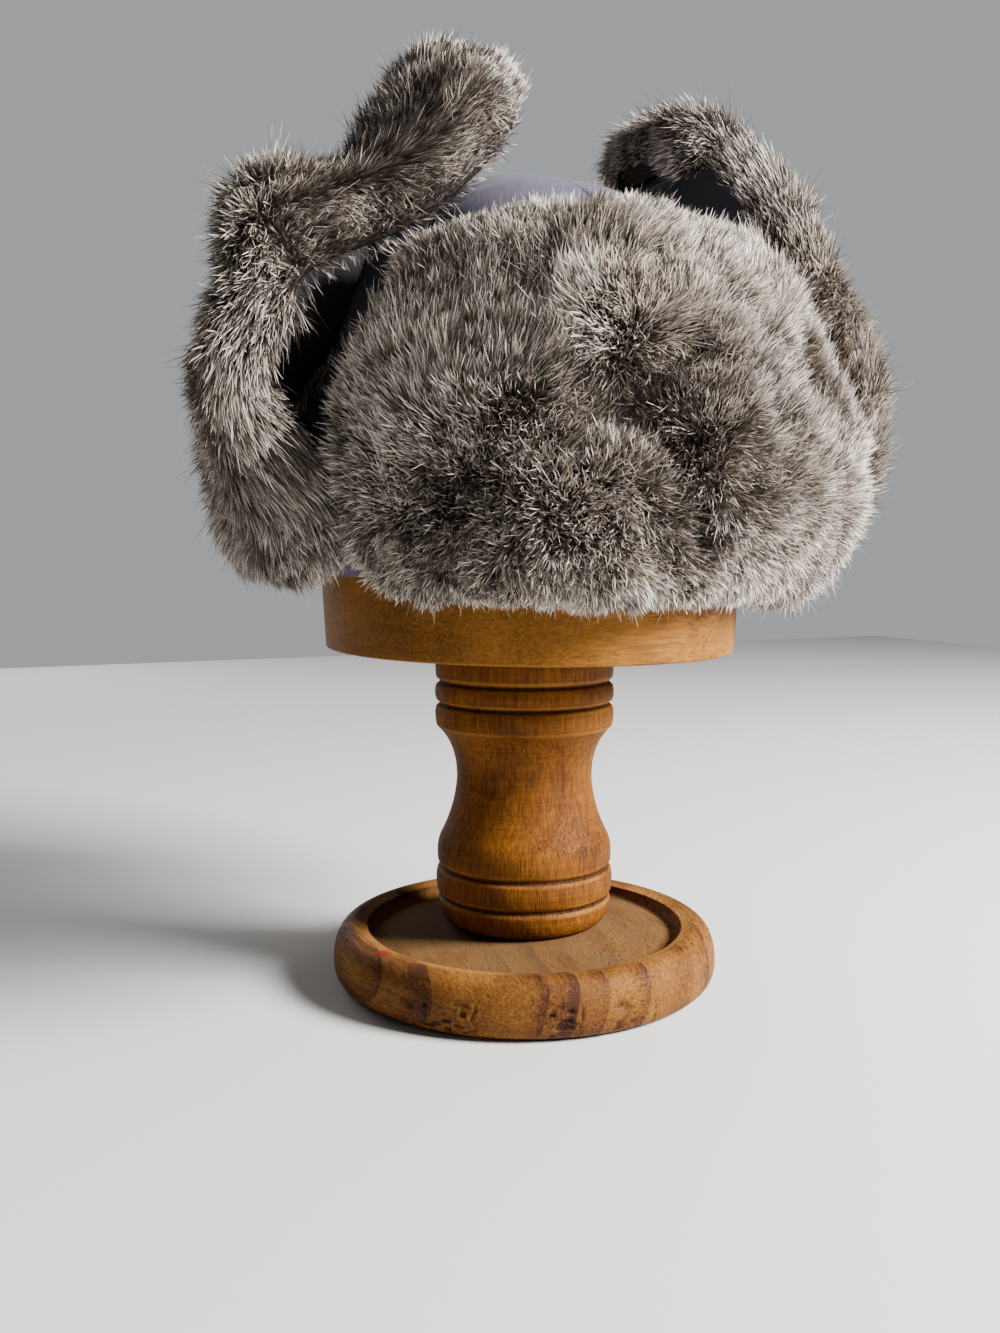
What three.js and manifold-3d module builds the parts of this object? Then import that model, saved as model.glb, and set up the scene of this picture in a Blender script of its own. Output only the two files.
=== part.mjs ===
// Fur ushanka with its ear flaps turned up, on a turned wooden hat stand.
// Millimetres, +Z up. The origin is the middle of the stand's underside, and the hat faces -Y.
import * as THREE from 'three';
import { LoftGeometry } from 'three/addons/geometries/LoftGeometry.js';
import { mergeVertices } from 'three/addons/utils/BufferGeometryUtils.js';
import Module from 'manifold-3d';

const wasm = await Module();
wasm.setup();

// Driving sizes
const GAP = 0.3;
const WELD = 0.001;
const HEAD = { halfWidth: 82.5, halfLength: 97.5 };
const HEIGHT = { rimTop: 23.5, dishFloor: 23.2, blockFoot: 139.8, hatRim: 170, blockTop: 216, crownTop: 327 };
const BASE = {
  underside: 71.5, bulge: 80.7, bulgeHeight: 9, rimCrest: 72, crestFall: 1,
  dish: 66.5, dishWall: 62, dishLow: 18,
};
const BLOCK = { edge: 1.2, taper: 1.5, shoulder: 4 };
const CROWN = {
  wall: 2.4, ease: 0.65, squareness: 2.5, gores: 6, seamDepth: 2.2, seamSharpness: 8, dentSharpness: 4,
  around: 40, levels: 6, nearTop: 0.985,
};
const SHELL = { wall: 2, columns: 6, rows: 16 };
const FUR = { overhang: 7, lump: 0.14, seat: 0.4, endWidth: 0.75, cornerSharpness: 6, sideSharpness: 4 };
const LOCK = {
  length: 23, flatness: 0.3, margin: 0.1, stagger: 0.5, shift: 0.15, slide: 0.4, smallest: 0.8, largest: 1.15,
};
const SCATTER = { stride: 12.9898, saltStride: 78.233, spread: 43758.5453 };

// Turned profile of the stand's post. Each row is a point to reach, with a pull for a round stretch.
const POST_PROFILE = [
  { radius: 30.5, height: HEIGHT.dishFloor + GAP },
  { radius: 36.4, height: 34, pullRadius: 36, pullHeight: 24.5 },
  { radius: 35, height: 35.4 },
  { radius: 36.8, height: 37.4 },
  { radius: 36.8, height: 46.2, pullRadius: 37.8, pullHeight: 42 },
  { radius: 35, height: 47.8 },
  { radius: 36.6, height: 49.8 },
  { radius: 35.6, height: 60, pullRadius: 37.2, pullHeight: 56 },
  { radius: 28.4, height: 85, pullRadius: 29.2, pullHeight: 72 },
  { radius: 36.8, height: 107, pullRadius: 28.4, pullHeight: 99.5 },
  { radius: 37, height: 115, pullRadius: 38, pullHeight: 112 },
  { radius: 35, height: 116.4 },
  { radius: 37, height: 118 },
  { radius: 37, height: 124, pullRadius: 38, pullHeight: 121 },
  { radius: 35, height: 125.6 },
  { radius: 37, height: 127.2 },
  { radius: 36, height: HEIGHT.blockFoot - GAP, pullRadius: 38, pullHeight: 134 },
];

// Soft hollows in the top of the crown, in plan.
const CROWN_DENTS = [
  { x: -30, y: 18, spread: 26, depth: 5 },
  { x: 46, y: 22, spread: 26, depth: 5 },
  { x: 4, y: -48, spread: 28, depth: 4 },
];

// Flaps that lie round the crown: height, distance out from the rim's oval, half angle in degrees and
// how far the edge on the +X side stands out past the middle.
const FRONT_ROWS = [
  { up: 173, out: -0.5, half: 56, flare: 2 },
  { up: 198, out: 5, half: 60, flare: 24 },
  { up: 229, out: 4, half: 60, flare: 24 },
  { up: 258, out: -1, half: 56, flare: 8 },
  { up: 280, out: -9, half: 48, flare: -2 },
];
const BACK_ROWS = [
  { up: 173, out: -0.6, half: 40, flare: 0 },
  { up: 202, out: 4, half: 42, flare: 0 },
  { up: 232, out: 4, half: 40, flare: 0 },
  { up: 260, out: 3, half: 34, flare: 0 },
];

// Ear flaps that stand off the crown: each row is a cross line of the flap, from the rim to the tip.
// out is the middle's distance from the hat's middle plane, mid its place along Y, half the half width,
// flare how far the front edge stands out past the middle, bow how far both edges bend inwards and
// tilt how far the rear edge stands above the middle.
const LEFT_EAR_ROWS = [
  { up: 173, out: 86.6, mid: 14, half: 42, flare: 5.6, bow: 8.3, tilt: 0 },
  { up: 182, out: 96, mid: 12, half: 45, flare: 3, bow: 8, tilt: 0 },
  { up: 203, out: 101, mid: 9, half: 51, flare: 3, bow: 5, tilt: 0 },
  { up: 237, out: 108, mid: 8, half: 53, flare: 16, bow: 3, tilt: 1 },
  { up: 272, out: 92, mid: 10, half: 53, flare: 27, bow: 6, tilt: 8 },
  { up: 294, out: 82, mid: 6, half: 45, flare: 25, bow: 6, tilt: 13 },
  { up: 307, out: 59, mid: -3, half: 36, flare: 8, bow: 2, tilt: 8 },
  { up: 331, out: 39, mid: -12, half: 27, flare: -4, bow: 0, tilt: 6 },
  { up: 354, out: 25, mid: -15, half: 20, flare: -3, bow: 0, tilt: 8 },
];
const RIGHT_EAR_ROWS = [
  { up: 173, out: 86.5, mid: 14, half: 42, flare: 5.6, bow: 8.3, tilt: 0 },
  { up: 182, out: 103, mid: 12, half: 45, flare: 6, bow: 10, tilt: 0 },
  { up: 200, out: 118, mid: 9, half: 50, flare: 10, bow: 9, tilt: 0 },
  { up: 240, out: 122, mid: 7, half: 52, flare: 14, bow: 6, tilt: 0 },
  { up: 282, out: 107, mid: 5, half: 48, flare: 6, bow: 4, tilt: 0 },
  { up: 312, out: 91, mid: 4, half: 43, flare: 0, bow: 2, tilt: 0 },
  { up: 330, out: 78, mid: 4, half: 38, flare: -2, bow: 1, tilt: 0 },
  { up: 338, out: 69, mid: 4, half: 32, flare: 0, bow: 0, tilt: 0 },
  { up: 336, out: 61, mid: 4, half: 24, flare: 0, bow: 0, tilt: 0 },
];

// Soft lumps of a worn pelt: waves over a flap and their share of the lump.
const PILE_WAVES = [
  { across: 5.1, along: 7.3, share: 0.6 },
  { across: 9.7, along: -6.1, share: 0.4 },
];

// Rounded edges of a pelt: how far past the cloth it hangs, and how deep it is there.
const PILE_SIDES = [
  { reach: 1, share: 0.3 },
  { reach: 0.7, share: 0.8 },
];
const PILE_ENDS = [
  { run: 1, swell: 0 },
  { run: 0.85, swell: 0.55 },
  { run: 0.45, swell: 0.9 },
];

// A lock of fur from its buried root to its raised tip: place along it, height off the pile and half width.
const LOCK_STATIONS = [
  { run: 0, rise: -3, radius: 5 },
  { run: 0.5, rise: 1, radius: 14.5 },
  { run: 1, rise: 4.5, radius: 1.8 },
];
const LOCK_CORNERS = [90, 210, 330];

const degrees = THREE.MathUtils.degToRad;

// The value of one column at a place between 0 and 1 along a table, smooth through every row.
function along(rows, column, place) {
  const last = rows.length - 1;
  const at = THREE.MathUtils.clamp(place, 0, 1) * last;
  const start = Math.min(Math.floor(at), last - 1);
  const value = (row) => rows[THREE.MathUtils.clamp(row, 0, last)][column];
  const step = at - start;
  const [before, from, to, after] = [value(start - 1), value(start), value(start + 1), value(start + 2)];
  const slopeFrom = (to - before) / 2;
  const slopeTo = (after - from) / 2;
  const bend = 2 * (from - to) + slopeFrom + slopeTo;
  const sag = 3 * (to - from) - 2 * slopeFrom - slopeTo;
  return from + step * (slopeFrom + step * (sag + step * bend));
}

// A number between 0 and 1 that looks random and stays the same for the same count.
function scatter(count, salt) {
  const wave = Math.sin(count * SCATTER.stride + salt * SCATTER.saltStride) * SCATTER.spread;
  return wave - Math.floor(wave);
}

// The rim's oval: its radius at an angle from the front, for a head oval grown by a margin.
function ovalRadius(angle, margin) {
  const across = Math.sin(angle) / (HEAD.halfWidth + margin);
  const lengthwise = Math.cos(angle) / (HEAD.halfLength + margin);
  return 1 / Math.hypot(across, lengthwise);
}

// A solid of manifold-3d from a closed geometry, and a geometry back from a solid.
function toSolid(geometry) {
  const bare = new THREE.BufferGeometry();
  bare.setAttribute('position', geometry.getAttribute('position'));
  bare.setIndex(geometry.getIndex());
  const merged = mergeVertices(bare, WELD);
  const vertProperties = new Float32Array(merged.attributes.position.array);
  const corners = Array.from(merged.index.array);
  const triVerts = [];
  for (let first = 0; first < corners.length; first += 3) {
    const triangle = corners.slice(first, first + 3);
    if (new Set(triangle).size === 3) triVerts.push(...triangle);
  }
  const mesh = new wasm.Mesh({ numProp: 3, vertProperties, triVerts: new Uint32Array(triVerts) });
  return new wasm.Manifold(mesh);
}

function toGeometry(solid) {
  const { vertProperties, triVerts } = solid.getMesh();
  const geometry = new THREE.BufferGeometry();
  geometry.setAttribute('position', new THREE.BufferAttribute(vertProperties, 3));
  geometry.setIndex(new THREE.BufferAttribute(triVerts, 1));
  geometry.computeVertexNormals();
  return geometry;
}

function named(name, geometry, material) {
  const mesh = new THREE.Mesh(geometry, material);
  mesh.name = name;
  return mesh;
}

// Stand
function turned(rows, segments) {
  const path = new THREE.Path();
  path.moveTo(0, rows[0].height);
  for (const row of rows) {
    if (row.pullRadius) path.quadraticCurveTo(row.pullRadius, row.pullHeight, row.radius, row.height);
    else path.lineTo(row.radius, row.height);
  }
  path.lineTo(0, rows.at(-1).height);
  const curveSteps = 3;
  return new THREE.LatheGeometry(path.getPoints(curveSteps), segments).rotateX(Math.PI / 2);
}

function standBase() {
  const segments = 28;
  const dishEdge = HEIGHT.rimTop - BASE.crestFall;
  return turned([
    { radius: BASE.underside, height: 0 },
    { radius: BASE.bulge, height: BASE.bulgeHeight, pullRadius: BASE.bulge, pullHeight: 0 },
    { radius: BASE.rimCrest, height: HEIGHT.rimTop, pullRadius: BASE.bulge, pullHeight: dishEdge },
    { radius: BASE.dish, height: dishEdge },
    { radius: BASE.dishWall, height: BASE.dishLow, pullRadius: BASE.dish, pullHeight: BASE.dishLow },
    { radius: POST_PROFILE[0].radius, height: HEIGHT.dishFloor },
  ], segments);
}

function standPost() {
  const segments = 18;
  return turned(POST_PROFILE, segments);
}

function standBlock() {
  const segments = CROWN.around;
  const side = HEAD.halfWidth;
  const foot = side - BLOCK.taper;
  const rows = [
    { radius: foot - BLOCK.edge, height: HEIGHT.blockFoot },
    { radius: foot, height: HEIGHT.blockFoot + BLOCK.edge, pullRadius: foot, pullHeight: HEIGHT.blockFoot },
    { radius: side, height: HEIGHT.hatRim },
    { radius: side - BLOCK.shoulder, height: HEIGHT.blockTop - BLOCK.shoulder },
    { radius: side - 2 * BLOCK.shoulder, height: HEIGHT.blockTop },
  ];
  return turned(rows, segments).scale(1, HEAD.halfLength / HEAD.halfWidth, 1);
}

// Crown: a cloth dome of gores, round the block below and hollow above it.
function crownRing(climb, margin, lift) {
  const power = 2 / CROWN.squareness;
  const shrink = Math.cos(climb * Math.PI / 2) ** power;
  const rise = Math.sin(climb * Math.PI / 2) ** power;
  const up = HEIGHT.hatRim + (HEIGHT.crownTop - CROWN.wall + lift - HEIGHT.hatRim) * rise;
  return Array.from({ length: CROWN.around }, (_, step) => {
    const angle = step / CROWN.around * 2 * Math.PI;
    const seam = Math.abs(Math.cos(angle * CROWN.gores / 2)) ** CROWN.seamSharpness;
    const pucker = CROWN.seamDepth * seam * Math.sin(climb * Math.PI);
    const radius = ovalRadius(angle, margin) * shrink - pucker * shrink;
    const x = radius * Math.sin(angle);
    const y = -radius * Math.cos(angle);
    const sunk = CROWN_DENTS.map((dent) => {
      const away = Math.hypot(x - dent.x, y - dent.y) / dent.spread;
      return dent.depth * Math.exp(-away * away) * rise ** CROWN.dentSharpness;
    }).reduce((sum, depth) => sum + depth, 0);
    return new THREE.Vector3(x, y, up - sunk);
  });
}

function crown() {
  const margin = CROWN.ease;
  const climbs = places(0, CROWN.nearTop, CROWN.levels);
  const outer = climbs.map((climb) => crownRing(climb, margin + CROWN.wall, CROWN.wall));
  const inner = climbs.map((climb) => crownRing(climb, margin, 0));
  const mouth = inner[0].map((point) => point.clone().setZ(HEIGHT.hatRim - CROWN.wall));
  const dome = new LoftGeometry(outer, { capStart: true, capEnd: true });
  const hollow = new LoftGeometry([mouth, ...inner], { capStart: true, capEnd: true });
  return toGeometry(toSolid(dome).subtract(toSolid(hollow)));
}

// A flap's outer cloth face as a point for u across (-1 to 1) and v from the rim (0) to the edge (1).
function wrapFace(rows, facing, cornerDrop) {
  return (u, v) => {
    const angle = facing + u * degrees(along(rows, 'half', v));
    const flare = along(rows, 'flare', v) * Math.max(u, 0) ** 2;
    const radius = ovalRadius(angle, CROWN.ease + CROWN.wall) + along(rows, 'out', v) + flare;
    const up = along(rows, 'up', v) - cornerDrop * v * v * u ** FUR.cornerSharpness;
    return new THREE.Vector3(radius * Math.sin(angle), -radius * Math.cos(angle), up);
  };
}

function earFace(rows, side) {
  return (u, v) => {
    const out = along(rows, 'out', v) - along(rows, 'flare', v) * u - along(rows, 'bow', v) * u * u;
    const lengthwise = along(rows, 'mid', v) + along(rows, 'half', v) * u;
    return new THREE.Vector3(side * out, lengthwise, along(rows, 'up', v) + along(rows, 'tilt', v) * u);
  };
}

// The face's point and its outward, cross and lengthwise directions.
function faceFrame(face, turn, u, v) {
  const nudge = 0.01;
  const low = Math.max(v - nudge, 0);
  const high = Math.min(v + nudge, 1);
  const cross = face(u + nudge, v).sub(face(u - nudge, v)).normalize();
  const length = face(u, high).sub(face(u, low)).normalize();
  const out = new THREE.Vector3().crossVectors(cross, length).multiplyScalar(turn).normalize();
  return { point: face(u, v), cross, length, out };
}

// A point off the face by a height, carried on past the rim or the tip by an overrun in millimetres.
function offFace(face, turn, u, v, height, overrun) {
  const { point, length, out } = faceFrame(face, turn, u, v);
  return point.addScaledVector(out, height).addScaledVector(length, overrun);
}

// Even places from one value to another, both ends included.
function places(from, to, steps) {
  return Array.from({ length: steps + 1 }, (_, step) => from + (to - from) * step / steps);
}

// A flap's cloth, a wall inside its face. Each end closes on a line along the middle of the wall.
function shellCloth(face, turn) {
  const across = places(-1, 1, SHELL.columns);
  const ringAt = (v, top, bottom) => {
    const outside = across.map((u) => offFace(face, turn, u, v, -top, 0));
    const inside = across.map((u) => offFace(face, turn, u, v, -bottom, 0));
    const ring = [...outside, ...inside.reverse()];
    return turn > 0 ? ring : ring.reverse();
  };
  const middle = SHELL.wall / 2;
  const walls = places(0, 1, SHELL.rows).map((v) => ringAt(v, 0, SHELL.wall));
  const sections = [ringAt(0, middle, middle), ...walls, ringAt(1, middle, middle)];
  return toGeometry(toSolid(new LoftGeometry(sections)));
}

// How deep the pile stands at a place, less towards the flap's sides and more where it crests over a bend.
function pileDepth(u, v, { pile, salt, rounding, crests }) {
  const lumps = PILE_WAVES.map((wave) => wave.share * Math.sin(wave.across * u + wave.along * v + salt));
  const rounded = 1 - rounding * u ** FUR.sideSharpness;
  const crested = crests.map(({ place, spread, rise }) => rise * Math.exp(-(((v - place) / spread) ** 2)));
  const soft = pile * (1 + FUR.lump * lumps.reduce((sum, lump) => sum + lump, 0));
  return rounded * (soft + crested.reduce((sum, rise) => sum + rise, 0));
}

// The pile's body: a rounded pad over the face that hangs past its edges, from a start near the rim.
function pileBody(face, turn, pelt) {
  const { halfWidth, columns, rows, start, back } = pelt;
  const past = FUR.overhang / halfWidth;
  const stations = [
    ...PILE_ENDS.map(({ run, swell }) => ({ v: start, run: -run, swell })),
    ...places(start, 1, rows).map((v) => ({ v, run: 0, swell: 1 })),
    ...PILE_ENDS.toReversed().map(({ run, swell }) => ({ v: 1, run, swell })),
  ];
  const sections = stations.map(({ v, run, swell }) => {
    const limit = 1 + past * swell;
    const narrowing = FUR.endWidth + (1 - FUR.endWidth) * swell;
    const at = (u, share) => {
      const within = THREE.MathUtils.clamp(u, -limit, limit) * narrowing;
      const depth = pileDepth(within, v, pelt) * (FUR.seat + (share - FUR.seat) * swell);
      return offFace(face, turn, within, v, back + depth, run * FUR.overhang);
    };
    const across = places(-1, 1, columns);
    const ring = [
      ...across.map((u) => at(u, 0)),
      ...PILE_SIDES.map(({ reach, share }) => at(1 + reach * past, share)),
      ...across.toReversed().map((u) => at(u, 1)),
      ...PILE_SIDES.toReversed().map(({ reach, share }) => at(-1 - reach * past, share)),
    ];
    return turn > 0 ? ring.reverse() : ring;
  });
  return new LoftGeometry(sections);
}

// A lock of fur: a ridged leaf that rises out of the pile and lies over along the combing.
function furLock(root, out, comb, size) {
  const sideways = new THREE.Vector3().crossVectors(out, comb);
  const sections = LOCK_STATIONS.map(({ run, rise, radius }) => {
    const centre = root.clone().addScaledVector(out, rise * size);
    centre.addScaledVector(comb, LOCK.length * run * size);
    return LOCK_CORNERS.map(degrees).map((angle) => {
      const point = centre.clone().addScaledVector(sideways, radius * size * Math.cos(angle));
      return point.addScaledVector(out, radius * size * LOCK.flatness * Math.sin(angle));
    });
  });
  return new LoftGeometry(sections, { capStart: true, capEnd: true });
}

// Fur over a face: the pile's body with locks fused on, combed away from a line across the face.
function fur(face, turn, pelt) {
  const { lockColumns, lockRows, start, back, parting, spread, salt } = pelt;
  let solid = toSolid(pileBody(face, turn, pelt));
  for (let row = 0; row < lockRows; row += 1) {
    for (let column = 0; column < lockColumns; column += 1) {
      const count = row * lockColumns + column;
      const stagger = LOCK.stagger * (row % 2 + 0.5);
      const u = -1 + 2 * (column + stagger) / lockColumns + LOCK.shift * (scatter(count, salt) - 0.5);
      const place = (row + 0.5 + LOCK.slide * (scatter(count, salt + 1) - 0.5)) / lockRows;
      const v = start + (1 - start) * THREE.MathUtils.lerp(LOCK.margin, 1 - LOCK.margin, place);
      const { point, cross, length, out } = faceFrame(face, turn, u, v);
      const comb = cross.multiplyScalar(u * spread).addScaledVector(length, v > parting ? 1 : -1).normalize();
      const size = LOCK.smallest + (LOCK.largest - LOCK.smallest) * scatter(count, salt + 2);
      const root = point.addScaledVector(out, back + pileDepth(u, v, pelt));
      solid = solid.add(toSolid(furLock(root, out, comb, size)));
    }
  }
  return toGeometry(solid);
}

// Materials
const wood = new THREE.MeshStandardMaterial({ color: 0xa8692c, roughness: 0.45, metalness: 0 });
const wornWood = new THREE.MeshStandardMaterial({ color: 0x8f5f33, roughness: 0.6, metalness: 0 });
const blockWood = new THREE.MeshStandardMaterial({ color: 0xb5783a, roughness: 0.5, metalness: 0 });
const crownCloth = new THREE.MeshStandardMaterial({ color: 0x5f5572, roughness: 0.85, metalness: 0 });
const flapCloth = new THREE.MeshStandardMaterial({ color: 0x474056, roughness: 0.9, metalness: 0 });
const rabbitFur = new THREE.MeshStandardMaterial({ color: 0x7d7168, roughness: 0.95, metalness: 0 });

const ushanka = new THREE.Group();
ushanka.add(named('stand_base', standBase(), wornWood));
ushanka.add(named('stand_post', standPost(), wood));
ushanka.add(named('stand_block', standBlock(), blockWood));
ushanka.add(named('crown', crown(), crownCloth));

const WRAPS = [
  { name: 'front_flap', table: FRONT_ROWS, facing: 4, cornerDrop: 10, halfWidth: 100, columns: 11, rows: 6,
    lockColumns: 9, lockRows: 5, salt: 3 },
  { name: 'back_flap', table: BACK_ROWS, facing: 180, cornerDrop: 4, halfWidth: 68, columns: 9, rows: 6,
    lockColumns: 6, lockRows: 3, salt: 7 },
];
const WRAP_PELT = {
  back: 1.3, pile: 17, rounding: 0.04, start: 0, parting: 0.4, spread: 0.5, crests: [],
};
for (const { name, table, facing, cornerDrop, ...pelt } of WRAPS) {
  const face = wrapFace(table, degrees(facing), cornerDrop);
  ushanka.add(named(name, fur(face, 1, { ...WRAP_PELT, ...pelt }), rabbitFur));
}

const SHOULDER = { place: 0.6, spread: 0.08, rise: 12 };
const EARS = [
  { name: 'left_ear', table: LEFT_EAR_ROWS, side: -1, back: 2.2, salt: 11, crests: [SHOULDER] },
  { name: 'right_ear', table: RIGHT_EAR_ROWS, side: 1, back: 1.3, salt: 17, crests: [] },
];
const EAR_FOLD_ROWS = 2;
const EAR_PELT = {
  halfWidth: 45, columns: SHELL.columns, rows: SHELL.rows - EAR_FOLD_ROWS, start: EAR_FOLD_ROWS / SHELL.rows,
  lockColumns: 4, lockRows: 7, pile: 20, rounding: 0.2, parting: 0.3, spread: 0.6,
};
for (const { name, table, side, ...pelt } of EARS) {
  const face = earFace(table, side);
  ushanka.add(named(`${name}_shell`, shellCloth(face, side), flapCloth));
  ushanka.add(named(`${name}_fur`, fur(face, side, { ...EAR_PELT, ...pelt }), rabbitFur));
}

export default ushanka;
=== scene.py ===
"""Dresses a fur ushanka and the turned wooden stand that carries it.

The forms follow the part's own tables, in millimetres, and every mesh is made in metres in the part's frame.
"""
import logging
import math
from abc import ABC, abstractmethod
from dataclasses import dataclass, field, replace
from enum import Enum, IntEnum

import bmesh
import bpy
import numpy as np
from mathutils import Euler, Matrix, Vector


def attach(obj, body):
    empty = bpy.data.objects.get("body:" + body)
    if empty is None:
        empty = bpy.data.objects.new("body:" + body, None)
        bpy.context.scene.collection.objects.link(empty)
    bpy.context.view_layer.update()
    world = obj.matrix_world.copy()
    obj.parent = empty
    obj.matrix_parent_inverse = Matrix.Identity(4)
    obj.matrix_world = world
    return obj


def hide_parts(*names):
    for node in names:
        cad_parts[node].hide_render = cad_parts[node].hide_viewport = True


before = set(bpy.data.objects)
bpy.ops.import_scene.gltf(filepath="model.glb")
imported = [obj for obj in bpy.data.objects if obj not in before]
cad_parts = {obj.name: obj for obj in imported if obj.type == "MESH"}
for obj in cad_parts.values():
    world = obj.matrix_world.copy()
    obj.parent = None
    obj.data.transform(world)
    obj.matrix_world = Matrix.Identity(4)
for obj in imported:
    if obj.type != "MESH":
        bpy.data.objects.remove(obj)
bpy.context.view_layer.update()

LOG = logging.getLogger("ushanka")
Array = np.ndarray
Colour = tuple[float, float, float]
Span = tuple[float, float]
Piece = bpy.types.Object
Socket = bpy.types.NodeSocket

MM = 0.001
TINY = 1e-9
BODY = "root"
BAKE_MAP = "OFBake"
CLOTH_MAP = "Cloth"
WEAR = "wear"
HOLLOWS = "hollows"
DUST = "dust"
END_GRAIN = "end_grain"


class Draw(IntEnum):
    """Numbers that keep the random draws of a pelt apart."""

    TUFT_ACROSS = 1
    LOCK_ACROSS = 2
    TUFT_ALONG = 3
    LOCK_ALONG = 4
    TUFT_SIZE = 5
    TUFT_TONE = 6
    LOCK_TONE = 7
    LOCKS = 20
    HUMPS = 40
    SMALL_HUMPS = 41
    DRIFT = 50
    FINE_DRIFT = 51
    FLATNESS = 52


# Numbers over arrays
def unit(vectors: Array) -> Array:
    """Scales vectors to a length of one."""
    return vectors / np.maximum(np.linalg.norm(vectors, axis=-1, keepdims=True), TINY)


def smooth(low: float, high: float, values: Array) -> Array:
    """Rises smoothly from 0 at the low value to 1 at the high value."""
    share = np.clip((values - low) / (high - low), 0.0, 1.0)
    return share * share * (3.0 - 2.0 * share)


def along(rows: list, column: str, place: Array) -> Array:
    """Reads one column of a table, smooth through every row.

    Args:
        rows: The table, from its first section to its last.
        column: The column's name.
        place: Places from 0 to 1 along the table.

    Returns:
        The column's value at each place.
    """
    values = np.array([getattr(row, column) for row in rows], dtype=float)
    last = len(values) - 1
    at = np.clip(place, 0.0, 1.0) * last
    start = np.minimum(np.floor(at).astype(int), last - 1)
    step = at - start
    before, after = values[np.maximum(start - 1, 0)], values[np.minimum(start + 2, last)]
    low, high = values[start], values[start + 1]
    slope_low, slope_high = (high - before) / 2, (after - low) / 2
    bend = 2 * (low - high) + slope_low + slope_high
    sag = 3 * (high - low) - 2 * slope_low - slope_high
    return low + step * (slope_low + step * (sag + step * bend))


def scattered(cells: Array, salt: float) -> Array:
    """Gives each whole-numbered cell its own number from 0 to 1, the same on every run.

    Args:
        cells: Cell numbers, with the two directions last.
        salt: Changes the whole draw.

    Returns:
        One number for each cell.
    """
    stride, cross_stride, salt_stride, spread = 12.9898, 78.233, 37.719, 43758.5453
    wave = np.sin(cells[..., 0] * stride + cells[..., 1] * cross_stride + salt * salt_stride) * spread
    return wave - np.floor(wave)


def soft_noise(places: Array, size: float, salt: float) -> Array:
    """Draws smooth random hills over a plane.

    Args:
        places: Points of the plane, in millimetres.
        size: The width of a hill.
        salt: Changes the whole draw.

    Returns:
        Heights from 0 to 1.
    """
    grid = places / size
    cell = np.floor(grid)
    share = grid - cell
    share = share * share * (3.0 - 2.0 * share)
    corners = [[scattered(cell + np.array([x, y]), salt) for x in (0, 1)] for y in (0, 1)]
    low = corners[0][0] + (corners[0][1] - corners[0][0]) * share[..., 0]
    high = corners[1][0] + (corners[1][1] - corners[1][0]) * share[..., 0]
    return low + (high - low) * share[..., 1]


def nearest_tuft(places: Array, size: float, salt: float) -> tuple[Array, Array]:
    """Finds the tuft that each hair belongs to, among centres scattered over a plane.

    Args:
        places: Hair roots on the plane, in millimetres.
        size: The usual distance between tufts.
        salt: Changes the whole draw.

    Returns:
        The way to the tuft's centre in millimetres, and the tuft's cell.
    """
    grid = places / size
    home = np.floor(grid)
    reach = np.full(len(places), np.inf)
    way = np.zeros_like(places)
    cells = home.copy()
    for across in (-1, 0, 1):
        for up in (-1, 0, 1):
            cell = home + np.array([across, up])
            centre = cell + np.stack([scattered(cell, salt), scattered(cell, salt + 1)], axis=-1)
            offset = centre - grid
            distance = np.linalg.norm(offset, axis=-1)
            nearer = distance < reach
            reach[nearer] = distance[nearer]
            way[nearer] = offset[nearer] * size
            cells[nearer] = cell[nearer]
    return way, cells


# Meshes from arrays
def new_piece(name: str, points: Array, corners: Array, counts: Array) -> Piece:
    """Makes a mesh piece that rides on the part's body.

    Args:
        name: The piece's name.
        points: Vertex places in millimetres.
        corners: The vertex numbers of every face, one face after another.
        counts: How many corners each face has.

    Returns:
        The piece, with smooth faces.
    """
    mesh = bpy.data.meshes.new(name)
    mesh.vertices.add(len(points))
    mesh.vertices.foreach_set("co", (points * MM).astype(np.float32).ravel())
    mesh.loops.add(len(corners))
    mesh.loops.foreach_set("vertex_index", corners.astype(np.int32))
    mesh.polygons.add(len(counts))
    mesh.polygons.foreach_set("loop_start", (np.cumsum(counts) - counts).astype(np.int32))
    mesh.update(calc_edges=True)
    mesh.shade_smooth()
    piece = bpy.data.objects.new(name, mesh)
    bpy.context.scene.collection.objects.link(piece)
    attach(piece, BODY)
    return piece


def grid_quads(rows: int, columns: int) -> Array:
    """Lists the quads of a grid of vertices whose rows are closed rings.

    Args:
        rows: How many rings the grid has.
        columns: How many vertices each ring has.

    Returns:
        Four vertex numbers for each quad.
    """
    row, column = np.meshgrid(np.arange(rows - 1), np.arange(columns), indexing="ij")
    beside = (column + 1) % columns
    here, above = row * columns, (row + 1) * columns
    quads = [here + column, here + beside, above + beside, above + column]
    return np.stack(quads, axis=-1).reshape(-1, 4)


def ringed_piece(name: str, rings: Array) -> Piece:
    """Makes a piece from a grid of closed rings."""
    quads = grid_quads(*rings.shape[:2])
    return new_piece(name, rings.reshape(-1, 3), quads.ravel(), np.full(len(quads), 4))


def face_outwards(piece: Piece, join: float) -> None:
    """Joins doubled points of a closed piece and turns its faces outwards.

    Args:
        piece: The closed piece.
        join: How close two points are when they are one, in millimetres.
    """
    work = bmesh.new()
    work.from_mesh(piece.data)
    bmesh.ops.remove_doubles(work, verts=work.verts, dist=join * MM)
    bmesh.ops.dissolve_degenerate(work, edges=work.edges, dist=join * MM)
    bmesh.ops.recalc_face_normals(work, faces=work.faces)
    work.to_mesh(piece.data)
    work.free()
    piece.data.shade_smooth()


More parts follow.
